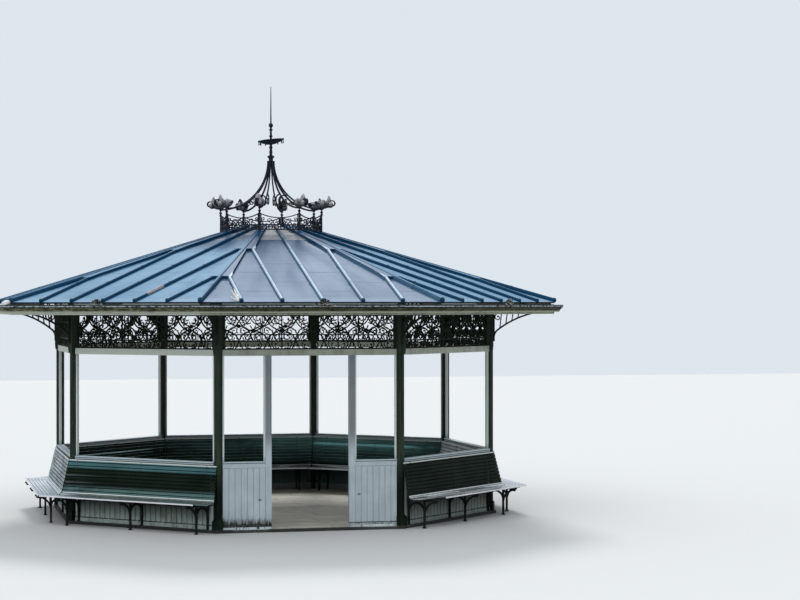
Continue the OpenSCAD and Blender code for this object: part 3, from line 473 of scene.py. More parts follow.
# %% Blue-grey roof sheet
def roof_metal(name, base, pale, dark, collar=0.0):
    """Dull sheet: rain streaks down the slope, navy painted shade on upright faces, pale crust under the
    crown.
    """
    f = Finish(name)
    x, y = f.x, f.y
    around = f.around()
    out = (x * x + y * y) ** 0.5
    fall, _ = f.octagon()
    streaks = f.noise(1.0, 5, 0.6, f.point(around * 9.0, out * 0.55, 0.0))
    ripples = f.noise(1.0, 3, 0.45, f.point(around * 1.3, fall * 9.0, 0.0))
    cloud = f.noise(0.75, 3)
    foot = fall.over(3.95, 4.18)
    stain = fall.over(COLLAR_OUT + 0.75, COLLAR_OUT + 0.2) * (0.6 + cloud.over(0.35, 0.6) * 0.4)
    crust = f.noise(0.035, 5, 0.7)
    across, back = f.facing("X"), f.facing("Y")
    lit_west = across.over(-0.15, -0.4) * back.over(-0.6, -0.4)
    side = f.facing("Z").over(0.943, 0.85) * (1 - lit_west * 0.85)
    front_face = across.size().over(0.14, 0.06) * back.over(0.0, -0.1)
    # Painted light: the rolls over the doorway side are made pale, as if lit from the left, with only thin
    # edges of painted shade
    raised = (f.up - APEX_Z + fall * (ROOF_RISE / EAVE_A)).over(0.01, 0.018)
    rolls = (y * -tan(TURN / 2) - x.size()).over(0.12, 0.135) * raised
    edges = across.over(0.3, 0.6).at_least(across.over(-0.8, -0.95) * 0.7)
    side = side * (1 - rolls) + rolls * edges
    f.colour = f.mix(cloud.over(0.3, 0.7), base, pale)
    # Painted shade darkens the front roof plane
    f.coat(front_face * 0.85, (0.072, 0.11, 0.18))
    f.coat(rolls * 0.9, (0.4, 0.48, 0.58))
    f.coat(streaks.over(0.5, 0.78) * 0.45, dark)
    f.coat(foot * streaks.over(0.35, 0.6) * 0.3, (0.34, 0.43, 0.5))
    f.coat(stain * 0.95 * streaks.over(0.1, 0.35), (0.004, 0.038, 0.095))
    if collar:
        above = fall.over(COLLAR_OUT + 0.006, COLLAR_OUT) * (0.35 + front_face * 0.65)
        f.coat(above * collar, (0.19, 0.205, 0.23))
        f.coat(above * collar * crust.over(0.46, 0.62) * 0.6, (0.3, 0.31, 0.29))
    # Painted shade: upright faces turn navy, except faces that turn west, which stay lit
    f.coat(side * 0.95, (0.003, 0.043, 0.098))
    return f.done(ripples + cloud * 0.6, 0.01, 0.4, 0.48 + streaks * 0.22, 0.06, Metallic=0.1)


# %% Mossy gutter
LIP_Z = 3.239


def gutter_iron():
    """Brown-black iron gutter with moss and grey paint remains in horizontal patches."""
    f = Finish("gutter_iron")
    up = f.up
    moss = f.noise(0.16, 5, 0.65, (1, 1, 2.2))
    bands = f.noise(0.12, 4, 0.65, (1, 1, 5.5))
    lit_west = f.facing("X").over(-0.3, -0.6)
    flecks = f.noise(0.045, 4, 0.65, (1, 1, 2.5))
    grey = f.noise(0.11, 4, 0.6, (1, 1, 3.0))
    runs = f.noise(0.05, 3, where=(1, 1, 0.3))
    lip = up.over(LIP_Z - 0.003, LIP_Z + 0.003)
    low = up.over(LIP_Z - 0.054, LIP_Z - 0.074)
    f.colour = f.mix(moss.over(0.4, 0.62), (0.012, 0.013, 0.009), (0.038, 0.042, 0.022))
    f.coat(flecks.over(0.52, 0.62) * 0.8, (0.08, 0.082, 0.046))
    # Paint remains show paler on faces that turn west, as painted light
    f.coat(bands.over(0.46, 0.6) * (0.15 + 0.75 * lit_west), (0.21, 0.212, 0.14))
    f.coat(grey.over(0.6, 0.72) * 0.5, (0.13, 0.142, 0.12))
    f.coat(runs.over(0.6, 0.75) * 0.5, (0.05, 0.034, 0.022))
    f.coat(low * moss.over(0.2, 0.45) * 0.9, (0.36, 0.38, 0.3))
    f.coat(up.over(LIP_Z - 0.019, LIP_Z - 0.009) * 0.8, SHADE)
    f.coat(lip * flecks.over(0.42, 0.5) * grey.over(0.34, 0.42), (0.36, 0.415, 0.44))
    f.coat(up.over(LIP_Z + 0.012, LIP_Z + 0.016) * 0.9, SHADE)
    return f.done(moss + runs * 0.4, 0.004, 0.6, 0.72 + moss * 0.2, 0.15)


# %% Stone and timber
def floor_stone():
    """Tan-grey sandstone flags, each a little different, dark with dirt and painted shade along the joints.
    """
    f = Finish("floor_stone")
    cells = f.add("ShaderNodeTexVoronoi", {}, {"Vector": f.stretched(1, 1.6, 0), "Scale": 1.3}, "Color")
    tint = f.axis(cells, "X")
    sand = f.noise(0.004, 3, 0.6)
    stain = f.noise(0.45, 5, 0.62)
    f.colour = f.mix(tint, (0.45, 0.425, 0.36), (0.55, 0.52, 0.435))
    f.coat(stain.over(0.42, 0.7) * 0.6, (0.3, 0.305, 0.29))
    f.coat(sand.over(0.45, 0.8) * 0.3, (0.6, 0.57, 0.49))
    out, along = f.octagon()
    rim = out.over(APOTHEM + 0.028, APOTHEM + 0.041)
    sides = along.within(0.6, 0.66, 1.25, 1.3) * f.y.over(-3.2, -3.25)
    # Painted shade darkens the floor's rim; on the front, beside the doorway, its top edge gets painted
    # light
    f.coat(rim * 0.85, (0.03, 0.033, 0.028))
    f.coat(rim * sides * stain.over(0.62, 0.48), (0.56, 0.6, 0.61))
    # Dirt and painted shade darken every upright face: the flags' sides in the joints and the floor's edge
    f.coat(f.facing("Z").over(0.5, 0.2) * 0.95, DIRT_AND_SHADE)
    return f.done(sand * 0.5 + stain * 1.2, 0.003, 0.5, 0.75 + sand * 0.15)


def roof_timber():
    """Old sawn softwood: grey-brown with long grain and darker knots."""
    f = Finish("roof_timber")
    grain = f.noise(0.02, 5, 0.65, (0.5, 0.5, 0.5))
    broad = f.noise(0.35, 3)
    knots = f.noise(0.06, 2).over(0.7, 0.76)
    f.colour = f.mix(grain.over(0.35, 0.68), (0.15, 0.11, 0.07), (0.3, 0.235, 0.16))
    f.coat(broad.over(0.4, 0.7) * 0.5, (0.13, 0.12, 0.1))
    f.coat(knots * 0.7, (0.06, 0.036, 0.02))
    return f.done(grain, 0.002, 0.5, 0.72 + grain * 0.15)


# %% Mix the finishes
GREEN = green_paint()
BOARDING = white_boarding()
ROTTEN_LEFT = white_boarding("white_boarding_rotten", rot=1.0, rot_top=0.27, knot=(-0.742, 0.463))
ROTTEN_RIGHT = white_boarding("white_boarding_damp", rot=0.6, rot_top=0.12, knot=(0.715, 0.517))
JOINERY = white_joinery("white_joinery", (0.505, 0.56, 0.56), (0.27, 0.29, 0.245), 0.6)
HEAD_RAIL = white_joinery("head_rail_paint", (0.33, 0.365, 0.3), (0.15, 0.165, 0.125), 0.9)
# The indoor skirting's paint is given dark tones, as painted shade under the inner benches
SKIRTING_PAINT = white_joinery("skirting_paint", (0.11, 0.125, 0.115), (0.04, 0.055, 0.05))
# Painted shade: the fascia above 3.2 m, under the eave, and the nosing's lower half
FASCIA = white_joinery("fascia_paint", (0.3, 0.33, 0.26), (0.11, 0.12, 0.085), 1.0, above=3.2)
BEADS = white_joinery("bead_paint", (0.36, 0.45, 0.49), (0.24, 0.29, 0.3), 0.4, (0.6, 0.66, 0.63))
NOSING_PAINT = white_joinery("nosing_paint", (0.42, 0.51, 0.55), (0.24, 0.29, 0.3), 0.4, under=0.999)
SLATS = bench_slats()
FRIEZE = cast_iron("frieze_iron", (0.006, 0.013, 0.009), (0.018, 0.028, 0.019), rust=0.25)
BENCH_IRON = cast_iron("bench_iron", (0.006, 0.009, 0.008), (0.018, 0.024, 0.022), rust=0.1)
CROWN = cast_iron("crown_iron", (0.01, 0.015, 0.026), (0.026, 0.032, 0.046), rust=0.4)
LEAF = cast_iron("crown_leaf_iron", (0.07, 0.07, 0.076), (0.18, 0.18, 0.186), rust=0.25, lichen=0.9)
SHEET = roof_metal("roof_metal", (0.072, 0.172, 0.276), (0.11, 0.226, 0.34), (0.04, 0.098, 0.165), 0.9)
ROLL = roof_metal("roll_metal", (0.066, 0.16, 0.258), (0.1, 0.208, 0.315), (0.038, 0.092, 0.155))
# The eave's lip is a darker navy than the sheets, as painted shade under their edge
LIP = cast_iron("lip_metal", (0.008, 0.022, 0.042), (0.04, 0.07, 0.105))
WELT = cast_iron("welt_metal", (0.062, 0.115, 0.185), (0.095, 0.16, 0.24))
DOME = cast_iron("dome_metal", (0.006, 0.034, 0.062), (0.016, 0.07, 0.115))
# The cap inside the crown is a darker copy of the roof metal, as painted shade
CAP = roof_metal("cap_metal", (0.04, 0.06, 0.095), (0.065, 0.085, 0.12), (0.02, 0.032, 0.055))
CREST = cast_iron("crest_iron", (0.02, 0.021, 0.016), (0.06, 0.06, 0.048), lichen=0.75)
GUTTER = gutter_iron()
STONE = floor_stone()
TIMBER = roof_timber()
print(len(bpy.data.materials), "materials")

# %% Paint the frame's nodes
SIDES = ["front", "front_right", "right", "rear_right", "rear", "rear_left", "left", "front_left"]
WALLS = [f"wall_{side}" for side in SIDES[1:]]
BENCHES = [f"bench_{side}" for side in SIDES[1:]]
paint(STONE, "floor")
paint(GREEN, "columns")
paint(BOARDING, *WALLS)
paint(ROTTEN_LEFT, "door_side_left")
paint(ROTTEN_RIGHT, "door_side_right")
paint(HEAD_RAIL, "head_rails")
paint(JOINERY, "eaves_beams")
paint(BEADS, "window_beads")
paint(FASCIA, "fascia")
paint(FRIEZE, "brackets", *[f"frieze_{side}" for side in SIDES])
paint(TIMBER, "king_post", "rafters", "roof_boards")
paint(SHEET, "roof_sheets")
paint(ROLL, "hip_rolls")
paint(CAP, "roof_cap")
paint(GUTTER, "gutter")
paint(SLATS, "inner_benches", *BENCHES)
paint(BENCH_IRON, "bench_irons", "inner_bench_irons")
paint(CROWN, "crown_posts", "crown_panels", "crown_ribs", "finial")
print("painted", len(nodes), "nodes")

# %% [markdown]
# ## Light and floor
# The photograph is lit from high behind the building, so the sides that face the camera lie in soft shade
# and the seats and roof catch the light. A small sun would cast hard shadows that the photograph doesn't
# have. So one large soft sun stands behind, a very wide one at the front left lights the seats under the
# eaves, and an even sky fills the rest. The floor is plain and pale and is marked as stage, because it isn't
# part of the bandstand.

# %% Light
world = bpy.data.worlds.new("studio")
bpy.context.scene.world = world
world.use_nodes = True
BACKDROP = 0.85
sky = Tree(world.node_tree)
toward = sky.add("ShaderNodeTexCoord", {}, {}, "Generated")
lift = sky.axis(toward, "Y") * 0.8 + sky.axis(toward, "Z") * 0.6
seen = sky.add("ShaderNodeLightPath", {}, {}, "Is Camera Ray")
path = seen.socket.node
for other in ("Is Glossy Ray", "Is Transmission Ray"):
    seen = seen.at_least(Wire(sky, path.outputs[other]))
strength = 0.62 + lift.over(-0.2, 0.95) * 0.7
strength = strength * (1 - seen) + seen * BACKDROP
background = world.node_tree.nodes["Background"]
sky.join((0.86, 0.93, 1.0), background.inputs["Color"])
sky.join(strength, background.inputs["Strength"])


def soft_sun(name, strength, width, tilt, turn):
    """A sun lamp of some width, tilted about X and then turned about Z, all in degrees."""
    data = bpy.data.lights.new(name, "SUN")
    data.energy = strength
    data.angle = radians(width)
    put(name, data).rotation_euler = (radians(tilt), 0, radians(turn))


soft_sun("sun", 2.0, 14, -49, -11)
soft_sun("fill", 1.1, 60, 42, -30)
print(len(bpy.data.lights), "suns")

# %% The stage floor
STAGE_HALF = 60.0
floor_mesh = bmesh.new()
bmesh.ops.create_grid(floor_mesh, x_segments=1, y_segments=1, size=STAGE_HALF)
stage_mesh = bpy.data.meshes.new("stage_floor")
floor_mesh.to_mesh(stage_mesh)
floor_mesh.free()
stage_floor = put("stage_floor", stage_mesh)
stage_paint = Finish("stage_paint")
stage_paint.set(Base_Color=(0.5, 0.5, 0.49), Roughness=0.9)
paint(stage_paint, stage_floor)
print("stage is", 2 * STAGE_HALF, "m across")

# %% [markdown]
# ## Places on the octagon
# Everything repeats round eight sides and eight corners. Each copy could be placed by its own numbers, but a
# matrix for each side, corner, hip and roof plane lets a piece be drawn once, in plain axes, and set down
# wherever it repeats.

# %% Places
def at(x, y, z):
    return Matrix.Translation((x, y, z))


def turned_by(degrees, axis):
    return Matrix.Rotation(radians(degrees), 4, axis)


def side_turn(k):
    return Matrix.Rotation(TURN * k, 4, "Z")


def on_side(k):
    """Side k: +X along it, -Y outwards, with its origin on the column line."""
    return side_turn(k) @ at(0, -APOTHEM, 0)


def corner(k):
    """Corner after side k: +X outwards from the centre."""
    return Matrix.Rotation(TURN * (k + 0.5) - pi / 2, 4, "Z")


def on_hip(k):
    """Hip after side k: +Y up the hip from the eave's corner."""
    return corner(k) @ at(EAVE_R, 0, EAVE_Z) @ Matrix.Rotation(HIP_SLOPE, 4, "Y") @ turned_by(90, "Z")


def on_facet(k):
    """Roof plane k: +Y up the slope from the eave and +Z out of the sheet."""
    return side_turn(k) @ at(0, -EAVE_A, EAVE_Z) @ Matrix.Rotation(FACET_SLOPE, 4, "X")


print("first corner at", tuple(round(v, 3) for v in (corner(0) @ at(CIRCLE_R, 0, 0)).translation))

# %% [markdown]
# ## A small workshop
# Each shape starts from one bmesh operator and is finished by others. Every board or screw could be an
# object of its own, but that makes thousands. `Piece` gathers copies of shapes at many places into one mesh,
# so that a run of boards or a row of screws is one object, as a joiner would count it.

# %% Shapes and pieces
def as_shape(mesh):
    """Closes a bmesh and keeps it as a mesh that can be copied."""
    bmesh.ops.recalc_face_normals(mesh, faces=mesh.faces[:])
    shape = bpy.data.meshes.new("shape")
    mesh.to_mesh(shape)
    mesh.free()
    return shape


def shaped(operator, **settings):
    """A shape that one bmesh operator makes."""
    mesh = bmesh.new()
    operator(mesh, **settings)
    return as_shape(mesh)


def cut_away(mesh, place, outward):
    """Cuts a mesh with a plane, drops what lies outward of it and closes the cut."""
    cut = bmesh.ops.bisect_plane(mesh, geom=mesh.verts[:] + mesh.edges[:] + mesh.faces[:], plane_co=place,
                                 plane_no=outward, clear_outer=True)
    rim = [e for e in cut["geom_cut"] if isinstance(e, bmesh.types.BMEdge)]
    bmesh.ops.holes_fill(mesh, edges=rim, sides=0)


def bar(x, y, z, edge=0.002, segments=2):
    """A box round the origin with rounded edges."""
    mesh = bmesh.new()
    bmesh.ops.create_cube(mesh, size=1, matrix=Matrix.Diagonal((x, y, z, 1)))
    bmesh.ops.bevel(mesh, geom=mesh.edges[:], offset=edge, affect="EDGES", segments=segments, profile=0.5,
                    material=-1)
    return as_shape(mesh)


def spun(mesh, section, steps):
    """Spins a section, which is part of a mesh, once round Z."""
    bmesh.ops.spin(mesh, geom=section, cent=(0, 0, 0), axis=(0, 0, 1), angle=tau, steps=steps,
                   use_merge=True)
    bmesh.ops.remove_doubles(mesh, verts=mesh.verts[:], dist=1e-5)
    return as_shape(mesh)


def turned(profile, steps=16):
    """A solid of revolution about Z, from pairs of radius and height."""
    mesh = bmesh.new()
    points = [mesh.verts.new((radius, 0, height)) for radius, height in profile]
    line = [mesh.edges.new(pair) for pair in zip(points, points[1:])]
    return spun(mesh, points + line, steps)


class Piece:
    """Copies of shapes, gathered into one mesh."""

    def __init__(self, name):
        self.name = name
        self.mesh = bmesh.new()

    def add(self, shape, *places):
        for place in places:
            copy = shape.copy()
            copy.transform(place)
            self.mesh.from_mesh(copy)
            bpy.data.meshes.remove(copy)
        return self

    def finished(self, finish, smooth=35):
        """Makes the object, shades it, paints it and hands it to the frame."""
        bmesh.ops.recalc_face_normals(self.mesh, faces=self.mesh.faces[:])
        data = bpy.data.meshes.new(self.name)
        self.mesh.to_mesh(data)
        self.mesh.free()
        data.shade_smooth()
        data.set_sharp_from_angle(angle=radians(smooth))
        piece = put(self.name, data)
        paint(finish, piece)
        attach(piece, "root")
        print(self.name, len(data.polygons), "faces")
        return piece


# %% [markdown]
# ## Soft edges on the frame
# Nothing painted for decades has sharp edges. The edges could be rounded in the CAD model, but hundreds of
# small ones make it heavy. The frame's nodes are loose triangles, so a Weld modifier joins them first, and a
# Bevel then rounds only the edges that turn by more than 35 degrees.

# %% Round the edges of CAD nodes
def soften(width, *names):
    for name in names:
        weld = nodes[name].modifiers.new("weld", "WELD")
        weld.merge_threshold = 5e-5
        edge = nodes[name].modifiers.new("edge", "BEVEL")
        edge.width = width
        edge.segments = 2
        edge.limit_method = "ANGLE"
        edge.angle_limit = radians(35)
        edge.use_clamp_overlap = True
    print(len(names), "nodes rounded by", width * 1000, "mm")


soften(0.0035, "inner_benches", *BENCHES)
soften(0.004, "columns", "head_rails", "window_beads", "door_side_left", "door_side_right", *WALLS)
soften(0.003, "eaves_beams", "fascia")

# %% [markdown]
# ## Matchboards
# The walls are lined with upright boards about 90 mm wide, with chamfers that make the V-shaped joints
# between them. A bump could draw the joints, but it has no shadow and no broken ends. So each board is a
# real solid, a hair higher or lower than its neighbour. On the left of the doorway the boards have rotted at
# the foot and end in ragged teeth, cut by tilted planes.

# %% One board
BOARD_T = 0.014
BOARD_PROUD = 0.006
chance = random.Random(7)


def board(width, height, ragged=0.0, gap=0.0015):
    """A board with chamfered long edges that stands on z = 0. A ragged one has lost its foot."""
    mesh = bmesh.new()
    size = Matrix.Diagonal((width - gap, BOARD_T, height, 1))
    bmesh.ops.create_cube(mesh, size=1, matrix=at(0, 0, height / 2) @ size)
    long_edges = [e for e in mesh.edges if abs(e.verts[0].co.z - e.verts[1].co.z) > height / 2]
    bmesh.ops.bevel(mesh, geom=long_edges, offset=0.0035 + gap / 2, affect="EDGES", segments=1, profile=0.5,
                    material=-1)
    if ragged:
        for share in (-0.3, 0.35):
            lost = chance.uniform(0.35, 1.0) * ragged
            tilt = chance.uniform(-1.6, 1.6)
            cut_away(mesh, (share * width, 0, lost), Vector((tilt, 0.15, -1)).normalized())
    return as_shape(mesh)


# %% Line the walls
BOARD_PITCH = 0.0945
OUTER_FACE = 0.035
BOARDS_LOW = FLOOR_Z + 0.062
BOARDS_HIGH = 0.921


def line_wall(piece, k, start, end, face, low, high, ragged=0.0, gap=0.0015):
    """Boards between two places along side k. Face is +1 outside and -1 inside."""
    count = round((end - start) / BOARD_PITCH)
    width = (end - start) / count
    for i in range(count):
        proud = BOARD_PROUD + chance.uniform(-0.0008, 0.0008)
        y = -face * (OUTER_FACE + proud - BOARD_T / 2)
        spot = on_side(k) @ at(start + width * (i + 0.5), y, low)
        piece.add(board(width, high - low, ragged, gap), spot)


outer = Piece("outer_boards")
for k in range(1, 8):
    line_wall(outer, k, -SHAFT_END, SHAFT_END, 1, BOARDS_LOW, BOARDS_HIGH, gap=0.008)
outer.finished(BOARDING)

for hand, start, end, ragged, finish in (
        ("right", DOOR_POST_OUT, SHAFT_END, 0.0, ROTTEN_RIGHT),
        ("left", -SHAFT_END, -DOOR_POST_OUT, 0.028, ROTTEN_LEFT)):
    door_boards = Piece(f"door_boards_{hand}")
    line_wall(door_boards, 0, start, end, 1, BOARDS_LOW, BOARDS_HIGH, ragged, 0.004)
    door_boards.finished(finish)

inner = Piece("inner_boards")
for k in range(1, 8):
    line_wall(inner, k, -SHAFT_END, SHAFT_END, -1, FLOOR_Z, DADO_Z - 0.03)
for start, end in ((-SHAFT_END, -DOOR_POST_OUT), (DOOR_POST_OUT, SHAFT_END)):
    line_wall(inner, 0, start, end, -1, FLOOR_Z, DADO_Z - 0.03)
inner.finished(BOARDING)

# %% [markdown]
# ## Sill nosing and skirting
# A rounded nosing along the top of each wall throws the rain off the boards. In the photograph it is the
# brightest line of the wall. Inside, a skirting covers the feet of the boards. Both could be curves with a
# profile, but a rounded bar for each wall is simpler, and it ends at the columns as the real one does.

# %% Nosing and skirting
NOSING = 0.026


def along_walls(piece, section, y, z):
    """Runs a bar with a section of (depth, height, edge, segments) along every wall, y outwards."""
    panel = SHAFT_END - DOOR_POST_OUT
    for k in range(1, 8):
        piece.add(bar(2 * SHAFT_END, *section), on_side(k) @ at(0, -y, z))
    for s in (-1, 1):
        piece.add(bar(panel, *section), on_side(0) @ at(s * (DOOR_POST_OUT + panel / 2), -y, z))


nosing = Piece("sill_nosing")
for y in (0.04, -0.038):
    along_walls(nosing, (0.03, NOSING, 0.011, 3), y, DADO_Z - NOSING / 2 + 0.002)
nosing.finished(NOSING_PAINT)

skirting = Piece("skirting")
along_walls(skirting, (0.016, 0.11, 0.004, 2), -0.048, FLOOR_Z + 0.055)
skirting.finished(SKIRTING_PAINT)

# %% [markdown]
# ## Screws of the bench slats
# Each slat is held by one round-headed screw over every iron. They could be scattered on the frame's mesh,
# but then they would miss the irons. The slats follow a straight back, a bend and a seat, so the same three
# stretches give the place and the lean of each screw.

# %% Where the slats lie
SLAT_W, SLAT_T, SLAT_GAP = 0.045, 0.02, 0.008
BACK_LEAN = radians(13)
SEAT_RISE = radians(2)
BENCH_TOP = Vector((0.066, BACK_TOP_Z))
SEAT_FRONT, BEND_R = 0.59, 0.095

seat_bend = pi / 2 - BACK_LEAN + SEAT_RISE
bench_run = SEAT_FRONT - BENCH_TOP.x
bench_fall = BENCH_TOP.y - SEAT_Z
cross_fall = (bench_fall + bench_run * tan(SEAT_RISE)) / (1 + tan(BACK_LEAN) * tan(SEAT_RISE))
bend_tangent = BEND_R * tan(seat_bend / 2)
back_len = cross_fall / cos(BACK_LEAN) - bend_tangent
bend_len = BEND_R * seat_bend
seat_len = (bench_run - cross_fall * tan(BACK_LEAN)) / cos(SEAT_RISE) - bend_tangent
slat_count = int((back_len + bend_len + seat_len + SLAT_GAP) / (SLAT_W + SLAT_GAP))
down_back = Vector((sin(BACK_LEAN), -cos(BACK_LEAN)))
bend_start = BENCH_TOP + down_back * back_len
bend_mid = bend_start + BEND_R * Vector((cos(BACK_LEAN), sin(BACK_LEAN)))
bend_end = bend_mid + BEND_R * Vector((sin(SEAT_RISE), -cos(SEAT_RISE)))


def slat_line(i):
    """Distance out, height and heading of slat i, counted from the top of the back."""
    s = SLAT_W / 2 + i * (SLAT_W + SLAT_GAP)
    if s < back_len:
        return BENCH_TOP + down_back * s, BACK_LEAN - pi / 2
    if s < back_len + bend_len:
        heading = BACK_LEAN - pi / 2 + (s - back_len) / bend_len * seat_bend
        outward = Vector((-cos(heading + pi / 2), -sin(heading + pi / 2)))
        return bend_mid + BEND_R * outward, heading
    rest = s - back_len - bend_len
    return bend_end + rest * Vector((cos(SEAT_RISE), sin(SEAT_RISE))), SEAT_RISE


print(slat_count, "slats a bench")

# %% Screws
screw = turned([(0, -0.002), (0.0075, -0.002), (0.007, 0.0012), (0.0045, 0.003), (0, 0.0036)], 10)
screws = Piece("slat_screws")
OUTER_IRON_IN, INNER_IRON_IN = 0.145, 0.33
# Side and slat of the seat slats that are broken off short
LOST_ENDS = {(1, slat_count - 1), (1, slat_count - 2), (7, slat_count - 1)}
for k in range(1, 8):
    for i in range(slat_count):
        middle, heading = slat_line(i)
        for outward, inset in ((1, OUTER_IRON_IN), (-1, INNER_IRON_IN)):
            for x in (-HALF_SIDE + inset, 0, HALF_SIDE - inset):
                if outward == 1 and (k, i) in LOST_ENDS and abs(x) > 0.1:
                    continue
                lean = Matrix.Rotation(-outward * heading, 4, "X")
                spot = at(x, -outward * middle.x, middle.y) @ lean @ at(0, 0, SLAT_T / 2)
                screws.add(screw, on_side(k) @ spot)
screws.finished(BENCH_IRON, 60)

# %% [markdown]
# ## Leaves
# The founder's leaf turns up on the frieze, the crown and the gutter. It could be sculpted once, but each
# place wants its own length, curl and lobes. So it starts as a flat grid, which is drawn to a point, cupped
# and curled up along its length, and is then given thickness. Lobes on its edge come from a wave that grows
# towards the rim.

# %% A cast leaf
def leaf(length, width, curl=0.0, cup=0.0, lobes=0, thick=0.004, along=10, across=4):
    """A leaf from the origin along +X, in the XY plane, that curls towards +Z by an angle in degrees."""
    mesh = bmesh.new()
    bmesh.ops.create_grid(mesh, x_segments=along, y_segments=across, size=0.5)
    turn = radians(curl) or 1e-4
    bend_r = length / turn
    for vert in mesh.verts:
        along_share = vert.co.x + 0.5
        side = vert.co.y * 2
        outline = sin(pi * along_share ** 0.8) ** 0.75 if 0 < along_share < 1 else 0.0
        half = width / 2 * (0.08 + 0.92 * outline)
        if lobes:
            half *= 1 - 0.22 * abs(side) * (0.5 - 0.5 * cos(tau * lobes * along_share))
        angle = turn * along_share
        lift = cup * half * side * side - 0.25 * half * (1 - abs(side)) * (cup > 0)
        vert.co = (
            bend_r * sin(angle) - lift * sin(angle),
            side * half,
            bend_r * (1 - cos(angle)) + lift * cos(angle),
        )
    bmesh.ops.solidify(mesh, geom=mesh.faces[:], thickness=thick)
    return as_shape(mesh)


# %% [markdown]
# ## The frieze's ornament
# The frame has the frieze's bars, waves and scrolls. A founder also gives it a rosette on each repeat, a
# ball in the eye of each scroll, and small leaves that spring from the waves, all in relief on both faces. A
# bump can't change the outline of bars as thin as these, so the ornament is solid. What lies round one
# rosette is drawn here and set down seven times a side. Past the two ends nothing is kept.

# %% Frieze ornament
FRIEZE_T = 0.018
HEAD_TOP = HEAD_Z + 0.089
FRIEZE_H = 0.616
BAND_H = 0.125
BLOCK_W = 0.13
STILE_W = 0.02
frieze_inner = HALF_SIDE - BLOCK_W / 2 / cos(TURN / 2) - FRIEZE_T / 2 * tan(TURN / 2) - STILE_W
module_w = 2 * frieze_inner / 6
CROSS = FRIEZE_H * 0.67
ROSE = FRIEZE_H * 0.44


def scroll_eye(x, z, r, end):
    """Where a scroll's ball sits. Place x and radius r are shares of a repeat's width."""
    a = radians(end)
    return (x - 0.12 * r * cos(a)) * module_w, z - 0.12 * r * module_w * sin(a)


EYES = [scroll_eye(0.215, FRIEZE_H * 0.71, 0.17, -135),
        scroll_eye(0.2, BAND_H + 0.17 * module_w, 0.125, 265)]
BIG_EYE = scroll_eye(0.2, BAND_H * 0.62, 0.15, -130)
SMALL_EYE = scroll_eye(0.175, BAND_H * 0.5, 0.11, -130)
# Place as a share of a repeat's width and a height, heading in degrees, length and width of each leaf
LEAVES = [
    (0.05, ROSE + 0.03, 70, 0.055, 0.016),
    (0.06, ROSE - 0.03, -70, 0.06, 0.016),
    (0.17, ROSE + 0.02, 35, 0.06, 0.015),
    (0.3, ROSE + 0.062, 95, 0.045, 0.014),
    (0.4, CROSS - 0.035, 150, 0.05, 0.014),
    (0.45, CROSS + 0.01, 100, 0.062, 0.018),
    (0.38, CROSS + 0.095, 60, 0.05, 0.014),
    (0.31, FRIEZE_H - 0.045, 200, 0.05, 0.014),
    (0.04, FRIEZE_H - 0.06, 250, 0.075, 0.017),
    (0.2, ROSE - 0.03, -20, 0.05, 0.014),
    (0.36, BAND_H + 0.088, 190, 0.045, 0.014),
    (0.44, BAND_H + 0.02, 95, 0.07, 0.018),
    (0.04, BAND_H + 0.018, 62, 0.05, 0.015),
    (0.03, 0.028, 65, 0.04, 0.013),
    (0.45, 0.028, 95, 0.042, 0.014),
]
ball = shaped(bmesh.ops.create_icosphere, subdivisions=2, radius=0.0145)
rosette = turned([(0, 0), (0.034, 0), (0.034, 0.003), (0.029, 0.008), (0.021, 0.004), (0.015, 0.011),
                  (0, 0.014)], 16)
sizes = {size[3:] for size in LEAVES}
leaf_shapes = {size: leaf(*size, thick=FRIEZE_T + 0.006, along=5, across=2) for size in sizes}
face_out = turned_by(90, "X")
relief = Piece("frieze_relief")
for i in range(7):
    rose_x = -frieze_inner + module_w * i
    eyes = EYES + [SMALL_EYE if i % 2 else BIG_EYE]
    halves = [s for s in (-1, 1) if abs(rose_x + s * module_w / 2) < frieze_inner]
    for k in range(8):
        here = on_side(k) @ at(rose_x, 0, HEAD_TOP) @ face_out
        if len(halves) == 2:
            relief.add(rosette, here @ at(0, ROSE, FRIEZE_T / 2),
                       here @ at(0, ROSE, -FRIEZE_T / 2) @ turned_by(180, "X"))
        for s in halves:
            flip = Matrix.Scale(s, 4, (1, 0, 0))
            for x, z in eyes:
                relief.add(ball, here @ at(s * x, z, 0))
            for x, z, angle, length, width in LEAVES:
                spot = here @ flip @ at(x * module_w, z, -FRIEZE_T / 2 - 0.003) @ turned_by(angle, "Z")
                relief.add(leaf_shapes[length, width], spot)
relief.finished(FRIEZE, 50)

# %% [markdown]
# ## Roof metalwork
# Each batten roll ends in a dome at the eave; its upper end dies under the hip's saddle. The rolls are made
# in lengths, and a narrow strap covers each joint. Thin cross welts join one sheet to the next, and a
# turned-down lip finishes the eave. All of these could be lines in the finish, but solid ones catch the
# light along their edges, as they do in the photograph.

# %% Rolls, welts and lip
ROLL_W, ROLL_H = 0.052, 0.045
HIP_W, HIP_H = 0.064, 0.054
ROOF_STRIPS = 6
ROLL_STOP = 0.353
CAP_R = 0.42
JOINTS = (0.86, 1.72, 2.58, 3.44)
strip = 2 * HALF_EAVE / ROOF_STRIPS
facet_stop = FACET_LEN - CAP_R * cos(TURN / 2) / cos(FACET_SLOPE) - 0.012


def dome(width, length):
    """A squat dome that closes the end of a roll, with its flat side at the origin and its nose along -Y."""
    squat = Matrix.Diagonal((1.06, length / (width / 2), 1.06, 1))
    return shaped(bmesh.ops.create_uvsphere, u_segments=16, v_segments=8, radius=width / 2, matrix=squat)


